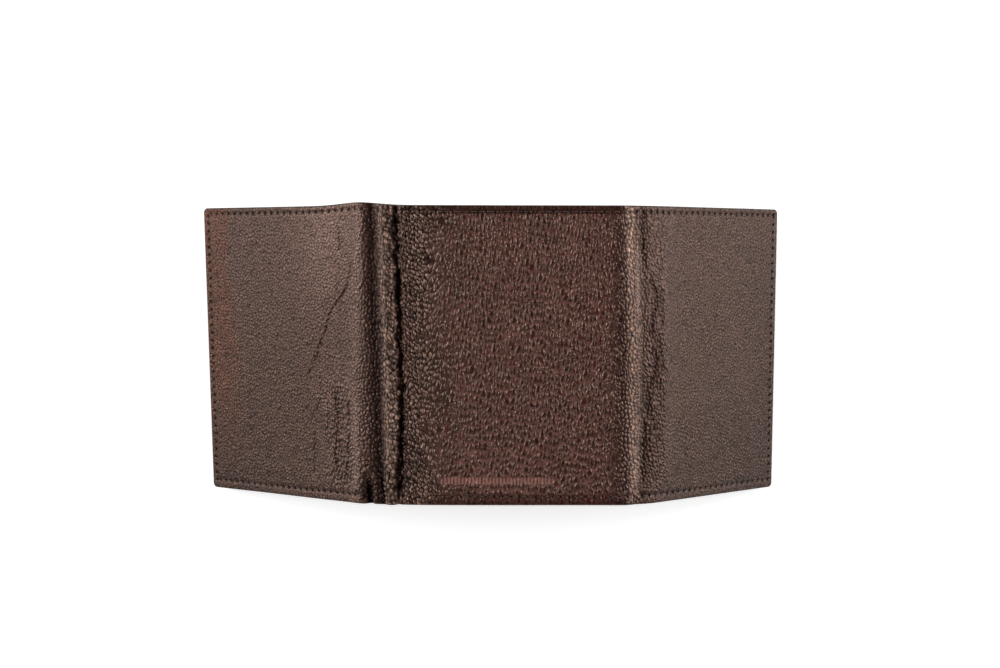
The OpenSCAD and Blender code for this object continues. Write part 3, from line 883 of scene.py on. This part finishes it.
def outward(li, lj, rows, columns, open_sides):
    """Directions straight out of a grid's border, on the pattern, and none at an open side."""
    out_u = np.where(li == 0, 0.0 if open_sides[0] else -1.0, 0)
    out_u = out_u + np.where(li == rows - 1, 0.0 if open_sides[1] else 1.0, 0)
    out_v = np.where(lj == 0, -1.0, 0) + np.where(lj == columns - 1, 1.0, 0)
    length = np.maximum(np.hypot(out_u, out_v), 1)
    return out_u / length, out_v / length


def round_corners(u, v, u_edge, side, size):
    """Draws the pattern grid in at the two corners of a flap, to a radius of size."""
    a = np.clip((size - (u_edge - u) * side) / size, 0, 1)
    for sv in (-1, 1):
        b = np.clip((size - (HALF_V - RIM_R - v * sv)) / size, 0, 1)
        corner = (a > 0) & (b > 0)
        a2, b2 = a * np.sqrt(1 - b * b / 2), b * np.sqrt(1 - a * a / 2)
        u = np.where(corner, u_edge - side * (size - size * a2), u)
        v = np.where(corner, sv * (HALF_V - RIM_R - size + size * b2), v)
    return u, v


def thinned(n):
    """Every few of n grid lines, with the first and the last."""
    return sorted(set(range(0, n, BACK_SKIP)) | {n - 1})


def steps_between(a, b):
    """Whole numbers from a up or down to b, without b."""
    return range(a, b, 1 if b > a else -1)


def hide_piece(name):
    """One stretch of hide as a closed leaf: pebbled face, rounded edges, turned hem and back."""
    u0, u1 = STRETCHES[name]["u"]
    side = {"left_outer": -1, "right_outer": 1}.get(name, 0)
    low, high = (u0 + RIM_R if side < 0 else u0), (u1 - RIM_R if side > 0 else u1)
    fixed, full_v = (high if side < 0 else low), HALF_V - RIM_R
    vs = axis_steps(-full_v, full_v, GRID_V)
    us = axis_steps(low, high, max((high - low) * len(vs) / QUADS, 0.2))
    u, v = np.meshgrid(us, vs, indexing="ij")
    if side:
        u, v = round_corners(u, v, high if side > 0 else low, side, CORNER_R)
    rows, columns = u.shape

    def drawn_in(at_u, at_v, inset):
        """Places moved in from the outline by the inset, apart from an open end."""
        squeeze = (high - low - inset) / (high - low) if side else 1
        return fixed + (at_u - fixed) * squeeze, at_v * ((full_v - inset) / full_v)

    f = hide_fields(u, v)
    top, tint = HIDE_TOP + f.height, leather_tint(f).reshape(-1, 4)
    skin = Skin()
    face = skin.add(u, v, top, tint)
    skin.faces += grid_faces(rows, columns)

    # The border runs round the open ends too; there the rim drops straight down, to meet the next stretch.
    loop = border_loop(rows, columns)
    li, lj = np.array(loop).T
    border = li * columns + lj
    bu, bv, bh = u[li, lj], v[li, lj], top[li, lj]
    out_u, out_v = outward(li, lj, rows, columns, (side >= 0, side <= 0))
    level = np.ones(len(loop))
    rings = []
    for reach, share in rim_turns(RIM_R, RIM_STEPS, RIM_STEPS):
        rings.append((bu + out_u * reach, bv + out_v * reach, bh * (1 - share) + HEM_BACK * share))
    rings += [(*drawn_in(bu, bv, inset), HEM_BACK * level) for inset in HEM]
    rings.append((*drawn_in(bu, bv, HEM[-1]), HIDE_BACK * level))
    edge_tint = np.append(EDGE_DYE_AND_SHADE * 1.6, 0.5)
    previous = face[border]
    for n, (ru, rv, rh) in enumerate(rings):
        fade = min(1.0, (n + 1) / 3)
        tinted = tint[border] * (1 - fade) + edge_tint * fade
        ring = skin.add(ru, rv, rh, tinted, grain_u=ru + RING_DRIFT * n)
        skin.faces += band(previous, ring)
        previous = ring

    # The back, out of sight behind the lining, as a coarse grid joined to the last ring.
    ti, tj = thinned(rows), thinned(columns)
    number = dict(zip(loop, previous.tolist()))
    inner = [(i, j) for i in ti for j in tj if (i, j) not in number]
    if inner:
        ii, jj = np.array(inner).T
        eu, ev = drawn_in(u[ii, jj], v[ii, jj], HEM[-1])
        made = skin.add(eu, ev, np.full(len(eu), HIDE_BACK), np.tile(edge_tint, (len(eu), 1)))
        number.update(zip(inner, made.tolist()))

    def edge_run(a, b):
        """The points from grid place a up to b: all of the ring's along a border, or else a alone."""
        (i0, j0), (i1, j1) = a, b
        if i0 == i1 and i0 in (0, rows - 1):
            return [number[i0, j] for j in steps_between(j0, j1)]
        if j0 == j1 and j0 in (0, columns - 1):
            return [number[i, j0] for i in steps_between(i0, i1)]
        return [number[a]]

    for i0, i1 in zip(ti[:-1], ti[1:]):
        for j0, j1 in zip(tj[:-1], tj[1:]):
            corners = [(i0, j0), (i0, j1), (i1, j1), (i1, j0)]
            outline = [edge_run(a, b) for a, b in zip(corners, corners[1:] + corners[:1])]
            skin.faces.append(sum(outline, []))
    return skin.make("hide_" + name, OUTER), (rows, columns)


def match_normals(pieces):
    """Gives two neighbouring stretches the same normals where they meet, so that no line shows there."""
    normals = {}
    for name, (obj, _) in pieces.items():
        n = np.zeros(len(obj.data.vertices) * 3, np.float32)
        obj.data.vertices.foreach_get("normal", n)
        normals[name] = n.reshape(-1, 3)
    order = list(STRETCHES)
    for a, b in zip(order[:-1], order[1:]):
        rows, columns = pieces[a][1]
        last = slice((rows - 1) * columns + 1, rows * columns - 1)
        first = slice(1, columns - 1)
        both = normals[a][last] + normals[b][first]
        both /= np.linalg.norm(both, axis=1)[:, None]
        normals[a][last], normals[b][first] = both, both
    for name, (obj, _) in pieces.items():
        obj.data.normals_split_custom_set_from_vertices(normals[name])


def stand_for(stretch, layer, spine_layer):
    """The piece replaces one layer's CAD nodes on the bodies that its stretch stands for."""
    nodes = [f"{body}_{spine_layer if 'spine' in body else layer}" for body in STRETCHES[stretch]["shows"]]
    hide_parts(*nodes)


hide = {name: hide_piece(name) for name in STRETCHES}
match_normals(hide)
for name, (obj, _) in hide.items():
    blend(obj)
    stand_for(name, "shell", "shell")

# ---- Leaves: closed sheets with rounded edges, for everything behind the hide ----

EDGE_TURNS = 4
EDGE_SHADE = 0.55
INNER_DYE = (0.060, 0.037, 0.030)
LEAF_STEP = 1.5
ACROSS_STEP = 1.0
GROOVE = (-0.9, -0.45, 0, 0.45, 0.9)
HEM_TUCK = HEM[-1] - 1.5
WALL_LINE_V = HALF_V - MOUTH_DROP - 2.2     # the tooled line under the inner wall's mouth edge


def leaf(name, us, vs, levels, material, relief, colour=None, open_sides=(False, False)):
    """A thin closed sheet over the pattern grid us by vs, between two levels. Its edges are rounded,
    apart from an open side, which butts against the next stretch. relief(u, v) gives how far the sheet
    rises, how far its back is dented, and the shade of its colour."""
    top, back = levels
    r = (top - back) / 2
    us, vs = np.array(us, float), np.array(vs, float)
    if not open_sides[0]:
        us[0] += r
    if not open_sides[1]:
        us[-1] -= r
    vs[0], vs[-1] = vs[0] + r, vs[-1] - r
    u, v = np.meshgrid(us, vs, indexing="ij")
    rise, dent, shade = relief(u, v)
    rows, columns = u.shape
    loop = border_loop(rows, columns)
    li, lj = np.array(loop).T
    border = li * columns + lj
    out_u, out_v = outward(li, lj, rows, columns, open_sides)

    def painted(shades):
        return None if colour is None else shades.reshape(-1, 1) * np.array(colour)

    skin = Skin()
    previous = skin.add(u, v, top + rise, painted(shade))[border]
    skin.faces += grid_faces(rows, columns)
    rim_shade = painted(np.full(len(loop), EDGE_SHADE))
    for reach, share in rim_turns(r, EDGE_TURNS, EDGE_TURNS - 1):
        level = top * (1 - share) + back * share + rise[li, lj] + dent[li, lj] * share
        ring = skin.add(u[li, lj] + out_u * reach, v[li, lj] + out_v * reach, level, rim_shade)
        skin.faces += band(previous, ring)
        previous = ring
    behind = skin.add(u, v, back + rise + dent, painted(shade))
    skin.faces += grid_faces(rows, columns, behind[0], flip=True)
    skin.faces += band(previous, behind[border])
    return skin.make(name, material)


def lined(values, *near):
    """Grid lines with extra ones close round each named place, so that a narrow groove has shape."""
    extra = [p + d for p in near for d in GROOVE]
    inside = [e for e in extra if values[0] < e < values[-1]]
    return np.array(sorted(set(np.round(np.concatenate([values, inside]), 4))))


def soft_relief(depth, length):
    """Relief of a thin sheet: slow waves of that depth and length, in millimetres."""

    def relief(u, v):
        return depth * NOISE_A(u / length, v / length), 0 * u, 0 * u + 1

    return relief


LINING_RELIEF, THIN_RELIEF = soft_relief(0.03, 9), soft_relief(0.02, 7)


def wall_relief(u, v):
    """Soft unevenness, a tooled line under the mouth edge and a soft fold at each crease."""
    wave = 0.06 * NOISE_B(u / 16, v / 16)
    line = bell(v - WALL_LINE_V, 0.35)
    fold_mark = sum(bell(u - s["crease"], 0.8) for s in STRETCHES.values())
    shade = 1 + 0.12 * NOISE_C(u / 12, v / 12) - 0.45 * line - 0.35 * np.clip(fold_mark, 0, 1)
    return wave, 0.18 * line + 0.1 * fold_mark, shade


def across(name, inset):
    """Grid lines across a stretch, short of the wallet's own edges by the inset."""
    low, high = STRETCHES[name]["u"]
    low, high = low + inset * (name == "left_outer"), high - inset * (name == "right_outer")
    return lined(axis_steps(low, high, ACROSS_STEP), STRETCHES[name]["crease"])


for name in STRETCHES:
    open_sides = (name != "left_outer", name != "right_outer")
    us, vs = across(name, HEM_TUCK), axis_steps(-HALF_V + HEM_TUCK, HALF_V - HEM_TUCK, LEAF_STEP)
    piece = leaf("lining_" + name, us, vs, LINING, LINING_CLOTH, LINING_RELIEF, open_sides=open_sides)
    blend(piece)
    stand_for(name, "lining", "lining")

    vs = lined(axis_steps(-HALF_V + EDGE_INSET, HALF_V - MOUTH_DROP, LEAF_STEP), WALL_LINE_V)
    us = across(name, EDGE_INSET)
    piece = leaf("inner_wall_" + name, us, vs, WALL, INNER, wall_relief, INNER_DYE, open_sides)
    blend(piece)
    stand_for(name, "inner_wall", "gusset")

# ---- Card pockets on the centre panel and the left flap ----

FRONT_POCKET_TOP = 70.0
POCKET_STEP = 12.0
FACING_H = 14.0
CLOTH_T = 0.15
POCKET_FLOORS = {"back": 14.0, "middle": 7.0}
POCKET_LINE = 1.9       # the tooled line, this far under a pocket's mouth


def pocket_top(k):
    """The v of the mouth of pocket k, counted from the back."""
    return -HALF_V + FRONT_POCKET_TOP + (2 - k) * POCKET_STEP


def pocket_relief(top_v):
    """Relief of a pocket's leather: a tooled line under its mouth, and a soft swell below it."""

    def relief(u, v):
        line = bell(v - (top_v - POCKET_LINE), 0.35)
        swell = -0.10 * smoothstep(top_v - v, 0, 3) * (1 + 0.4 * NOISE_A(u / 20, v / 20))
        return swell, 0.16 * line, 1 + 0.12 * NOISE_B(u / 10 + 4, v / 10) - 0.45 * line

    return relief


def card_pockets(body, u0, u1):
    us = axis_steps(u0, u1, LEAF_STEP)
    for k, which in enumerate(("back", "middle", "front")):
        level, top_v = POCKETS_TOP - k * POCKET_PITCH, pocket_top(k)
        front = which == "front"
        low_v = -HALF_V + EDGE_INSET if front else top_v - FACING_H
        vs = lined(axis_steps(low_v, top_v, LEAF_STEP), top_v - POCKET_LINE)
        facing = f"{body}_front_pocket" if front else f"{body}_{which}_facing"
        piece = leaf(facing + "_leather", us, vs, (level, level - POCKET_T), INNER, pocket_relief(top_v),
                     INNER_DYE)
        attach(piece, body)
        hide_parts(facing)
        if front:
            continue
        node = f"{body}_{which}_pocket"
        vs = axis_steps(-HALF_V + POCKET_FLOORS[which], top_v - FACING_H, LEAF_STEP)
        piece = leaf(node + "_cloth", us, vs, (level, level - CLOTH_T), POCKET_CLOTH, THIN_RELIEF)
        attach(piece, body)
        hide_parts(node)


CENTRE_PANEL = (LEFT_CENTRE_U + PANEL_RELIEF, RIGHT_CENTRE_U - PANEL_RELIEF)
LEFT_PANEL = (LEFT_EDGE_U + EDGE_INSET, LEFT_FLAP_U - PANEL_RELIEF)
RIGHT_PANEL = (RIGHT_FLAP_U + PANEL_RELIEF, RIGHT_EDGE_U - EDGE_INSET)
card_pockets("centre", *CENTRE_PANEL)
card_pockets("left_flap", *LEFT_PANEL)

# ---- ID window on the right flap ----

WINDOW_BORDER = 9.0
WINDOW_TOP_BORDER = 14.0
WINDOW_R = 3.0
WINDOW_REACH = 80.0
THUMB_R = 8.0
THUMB_SINK = 0.5
FILM_OVERLAP = 4.0
FILM_GAP = 0.03
RING_POINTS = 360
FRAME_TURNS = 6
WINDOW_U = (RIGHT_PANEL[0] + WINDOW_BORDER, RIGHT_PANEL[1] - WINDOW_BORDER)
WINDOW_V = (-HALF_V + WINDOW_BORDER, HALF_V - MOUTH_DROP - WINDOW_TOP_BORDER)
WINDOW_MIDDLE = (sum(WINDOW_U) / 2, sum(WINDOW_V) / 2)

# Rings on the frame's face: share of the way out, dent, shade. The second is a tooled line.
FRAME_RINGS = ((0.10, 0, 1.0), (0.17, -0.16, 0.55), (0.24, 0, 1.0), (0.5, -0.03, 1.05), (0.8, 0, 1))
FRAME_RIM_SHADE = 0.6


def window_radius(angle):
    """How far the window's edge is from its middle in a direction, found by halving. Its outline is a
    rounded rectangle joined to a round thumb notch."""
    half = np.array([(WINDOW_U[1] - WINDOW_U[0]) / 2, (WINDOW_V[1] - WINDOW_V[0]) / 2])
    d = np.array([math.cos(angle), math.sin(angle)])
    low, high = 0.0, WINDOW_REACH
    for _ in range(40):
        r = (low + high) / 2
        p = np.abs(d * r) - (half - WINDOW_R)
        in_box = np.hypot(*np.maximum(p, 0)) < WINDOW_R
        in_thumb = np.hypot(d[0] * r, d[1] * r - (half[1] - THUMB_SINK)) < THUMB_R
        low, high = (r, high) if (in_box or in_thumb) else (low, r)
    return low


def id_frame():
    """The leather frame round the ID window: rings from the window's edge out to the frame's outline."""
    mid_u, mid_v = WINDOW_MIDDLE
    top, back = FRAME
    r = (top - back) / 2
    u_ends, v_ends = RIGHT_PANEL, (-HALF_V + EDGE_INSET, HALF_V - MOUTH_DROP)
    # Corner directions get a point of their own, so that the outline is square there.
    corners = [math.atan2(v - mid_v, u - mid_u) % (2 * math.pi) for u in u_ends for v in v_ends]
    angles = np.array(sorted(set(np.arange(RING_POINTS) * 2 * math.pi / RING_POINTS) | set(corners)))
    du, dv = np.cos(angles), np.sin(angles)
    reach_u = np.where(du > 0, u_ends[1] - mid_u, mid_u - u_ends[0]) / np.maximum(np.abs(du), 1e-9)
    reach_v = np.where(dv > 0, v_ends[1] - mid_v, mid_v - v_ends[0]) / np.maximum(np.abs(dv), 1e-9)
    inner, outer = np.array([window_radius(a) for a in angles]), np.minimum(reach_u, reach_v)
    turns = [(0.0, 0.0)] + rim_turns(r, FRAME_TURNS, FRAME_TURNS)
    rings = [(inner + r - reach, top + (back - top) * share, FRAME_RIM_SHADE) for reach, share in turns]
    for share, dent, shade in FRAME_RINGS:
        rings.append((inner + r + share * (outer - inner - 2 * r), back - dent, shade))
    rings += [(outer - r + reach, back + (top - back) * share, FRAME_RIM_SHADE) for reach, share in turns]
    skin, n = Skin(), len(angles)
    made = []
    for distance, level, shade in rings:
        tint = np.full((n, 1), shade) * np.array(INNER_DYE)
        made.append(skin.add(mid_u + du * distance, mid_v + dv * distance, np.full(n, level), tint))
    for a, b in zip(made, made[1:] + made[:1]):
        skin.faces += band(a, b, flip=True)
    return skin.make("id_window_frame_leather", INNER)


piece = id_frame()
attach(piece, "right_flap")
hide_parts("id_window_frame")
piece = leaf("id_window_clear_film", axis_steps(*RIGHT_PANEL, LEAF_STEP),
             axis_steps(-HALF_V + EDGE_INSET, WINDOW_V[1] + FILM_OVERLAP, LEAF_STEP),
             (FILM[0], FILM[1] + FILM_GAP), FILM_MATERIAL, THIN_RELIEF)
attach(piece, "right_flap")
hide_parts("id_window_film")

# ---- Stitches ----

THREAD_R = 0.24
STITCH_RINGS = 9
STITCH_SIDES = 8
STITCH_GAP = 0.13           # the share of the pitch left bare at each end of a stitch
STITCH_LIFT = (-0.20, 0.26)     # its ends' level, and how far its middle arches above them
TWISTS = 3.2                # turns of the thread along a stitch
BESIDE_SEAM = 1.1
THREAD_SINK = 0.22


def stitch_run(runs):
    """A row of short twisted stitches. Each is (start, end, level of (u, v), 1 on the face or -1 behind)."""
    verts, faces, uvs = [], [], []
    around = np.arange(STITCH_SIDES) * 2 * math.pi / STITCH_SIDES
    t = np.linspace(0, 1, STITCH_RINGS)
    arch = np.sin(np.pi * t) ** 0.7
    radius = (THREAD_R * (0.55 + 0.45 * arch))[:, None]
    twist = np.broadcast_arrays(t[:, None] * TWISTS + around / (2 * math.pi), 0.5)
    twist = np.stack(twist, -1).reshape(-1, 2)
    per_stitch = STITCH_RINGS * STITCH_SIDES
    for n, ((ua, va), (ub, vb), level_of, outward_sign) in enumerate(runs):
        s = STITCH_GAP + (1 - 2 * STITCH_GAP) * t
        cu, cv = ua + (ub - ua) * s, va + (vb - va) * s
        side = np.array([-(vb - va), ub - ua]) / math.hypot(ub - ua, vb - va)
        lift = (STITCH_LIFT[0] + STITCH_LIFT[1] * arch) * outward_sign
        gu = cu[:, None] + side[0] * radius * np.cos(around)
        gv = cv[:, None] + side[1] * radius * np.cos(around)
        gh = (level_of(cu, cv) + lift)[:, None] + radius * np.sin(around)
        verts.append(place(gu, gv, gh).reshape(-1, 3))
        uvs.append(twist)
        rings = n * per_stitch + np.arange(per_stitch).reshape(STITCH_RINGS, STITCH_SIDES)
        for a, b in zip(rings[:-1], rings[1:]):
            faces += band(a, b, flip=True)
        faces += [rings[0, ::-1].tolist(), rings[-1].tolist()]
    return np.concatenate(verts), faces, np.concatenate(uvs)


def face_level(u, v):
    """The hide's face beside a seam: its broad shape, without the seam's own channel and holes."""
    offsets = ((0, BESIDE_SEAM), (0, -BESIDE_SEAM), (BESIDE_SEAM, 0), (-BESIDE_SEAM, 0))
    sides = [hide_fields(u + du, v + dv).height for du, dv in offsets]
    return HIDE_TOP + np.median(sides, axis=0) - THREAD_SINK


def back_level(layers):
    return lambda u, v: np.full(np.shape(u), layers - THREAD_R * 0.4)


def panel_back(u, v):
    """The innermost layer's level at a place on the pattern."""
    if v > HALF_V - MOUTH_DROP:
        return HEM_BACK
    if CENTRE_PANEL[0] < u < CENTRE_PANEL[1] or LEFT_PANEL[0] < u < LEFT_PANEL[1]:
        for k in (2, 1, 0):
            if v < pocket_top(k):
                return POCKETS_TOP - k * POCKET_PITCH - POCKET_T
    if RIGHT_PANEL[0] < u < RIGHT_PANEL[1]:
        return FRAME[1]
    return WALL[1]


def pitch_pairs(low, high):
    """The neighbouring holes of a seam between two places, on one pitch for the whole wallet."""
    holes = [k * STITCH for k in range(math.ceil(low / STITCH), math.floor(high / STITCH) + 1)]
    return list(zip(holes[:-1], holes[1:]))


def perimeter_stitches(name):
    """Both faces of the perimeter seams on one stretch of hide."""
    left_u, right_u = LEFT_EDGE_U + SEAM_SIDE, RIGHT_EDGE_U - SEAM_SIDE
    top_v, bottom_v = HALF_V - SEAM_TOP, -HALF_V + SEAM_BOTTOM
    low, high = max(STRETCHES[name]["u"][0], left_u), min(STRETCHES[name]["u"][1], right_u)
    runs = []
    for a, b in pitch_pairs(left_u, right_u):
        middle = (a + b) / 2
        if not low <= middle < high:
            continue
        runs.append(((a, top_v), (b, top_v)))
        if not SWALLOWED[0] < middle < SWALLOWED[1]:
            runs.append(((a, bottom_v), (b, bottom_v)))
    side_u = {"left_outer": left_u, "right_outer": right_u}.get(name)
    if side_u is not None:
        runs += [((side_u, a), (side_u, b)) for a, b in pitch_pairs(bottom_v, top_v)]
    both = []
    for a, b in runs:
        both.append((a, b, face_level, 1))
        both.append((a, b, back_level(panel_back((a[0] + b[0]) / 2, (a[1] + b[1]) / 2)), -1))
    return both


def stitches(name, runs):
    verts, faces, uvs = stitch_run(runs)
    piece = mesh_object(name, verts, faces, THREAD, uv=uvs)
    return piece


for name in STRETCHES:
    piece = stitches("stitches_" + name, perimeter_stitches(name))
    blend(piece)
    stand_for(name, "stitching", "stitching")

POCKET_SEAM_INSET = 1.8


def pocket_seams(name, body, seam_us, node):
    """Seams that hold the pockets to the inner wall, seen only from inside."""
    runs = []
    for seam_u in seam_us:
        for a, b in pitch_pairs(-HALF_V + SEAM_BOTTOM + STITCH, HALF_V - MOUTH_DROP - STITCH):
            runs.append(((seam_u, a), (seam_u, b), back_level(panel_back(seam_u, (a + b) / 2)), -1))
    piece = stitches(name, runs)
    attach(piece, body)
    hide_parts(node)


CENTRE_SEAMS = [CENTRE_PANEL[0] + POCKET_SEAM_INSET, CENTRE_PANEL[1] - POCKET_SEAM_INSET]
LEFT_SEAMS, RIGHT_SEAMS = [LEFT_PANEL[1] - POCKET_SEAM_INSET], [RIGHT_PANEL[0] + POCKET_SEAM_INSET]
pocket_seams("pocket_stitches_centre", "centre", CENTRE_SEAMS, "centre_pocket_stitching")
pocket_seams("pocket_stitches_left_flap", "left_flap", LEFT_SEAMS, "left_flap_pocket_stitching")
pocket_seams("window_stitches", "right_flap", RIGHT_SEAMS, "id_window_stitching")

# ---- Floor, light and camera ----

CAMERA_FROM_CENTRE = (-10.1, 36.2, 578.4)    # from the middle of the centre panel's face, millimetres
CAMERA_TURN = (-2.80, -0.59, 0.10)
LENS = 58.2
FLOOR_HALF = 6.0
FLOOR_LINES = 24
FLOOR_GLOW = 0.55
WORLD_STRENGTH = 0.12

# Softboxes: name, place, aim and size in metres, and power in watts.
SOFTBOXES = (
    ("left_softbox", (-1.05, 0.26, 0.52), (-0.05, 0, 0.03), (0.6, 0.6), 12),
    ("right_softbox", (1.07, 0.20, 0.46), (0.05, 0, 0.03), (0.6, 0.6), 10.4),
    ("near_softbox", (0.0, -1.5, 0.55), (0, 0, 0.03), (1.2, 0.4), 6),
)


def floor():
    line = np.linspace(-FLOOR_HALF, FLOOR_HALF, FLOOR_LINES)
    x, y = np.meshgrid(line, line, indexing="ij")
    s = Shader("floor_paper", Roughness=0.9, Specular_IOR_Level=0.1, Base_Color=(0.94, 0.94, 0.94, 1),
               Emission_Color=(1, 1, 1, 1), Emission_Strength=FLOOR_GLOW)
    points = np.stack([x, y, 0 * x], -1).reshape(-1, 3)
    mesh_object("floor", points, grid_faces(FLOOR_LINES, FLOOR_LINES), s.material)


def softbox(name, place_at, aim, size, power):
    data = bpy.data.lights.new(name, "AREA")
    data.shape = "RECTANGLE"
    data.size, data.size_y = size
    data.energy = power
    obj = bpy.data.objects.new(name, data)
    bpy.context.scene.collection.objects.link(obj)
    obj.location = place_at
    direction = Vector(aim) - Vector(place_at)
    obj.rotation_euler = direction.to_track_quat("-Z", "Y").to_euler()


def world_light(strength):
    world = bpy.data.worlds.new("studio")
    world.use_nodes = True
    background = world.node_tree.nodes["Background"].inputs
    background["Color"].default_value = (1, 1, 1, 1)
    background["Strength"].default_value = strength
    bpy.context.scene.world = world


floor()
world_light(WORLD_STRENGTH)
for facts in SOFTBOXES:
    softbox(*facts)

camera_data = bpy.data.cameras.new("camera")
camera_data.lens = LENS
camera = bpy.data.objects.new("camera", camera_data)
bpy.context.scene.collection.objects.link(camera)
camera.location = (
    (CENTRE_X + CAMERA_FROM_CENTRE[0]) * MM,
    CAMERA_FROM_CENTRE[1] * MM,
    (CENTRE_Z + HIDE_TOP + CAMERA_FROM_CENTRE[2]) * MM,
)
camera.rotation_euler = [math.radians(a) for a in CAMERA_TURN]
bpy.context.scene.camera = camera
bpy.context.scene.view_settings.view_transform = "Standard"
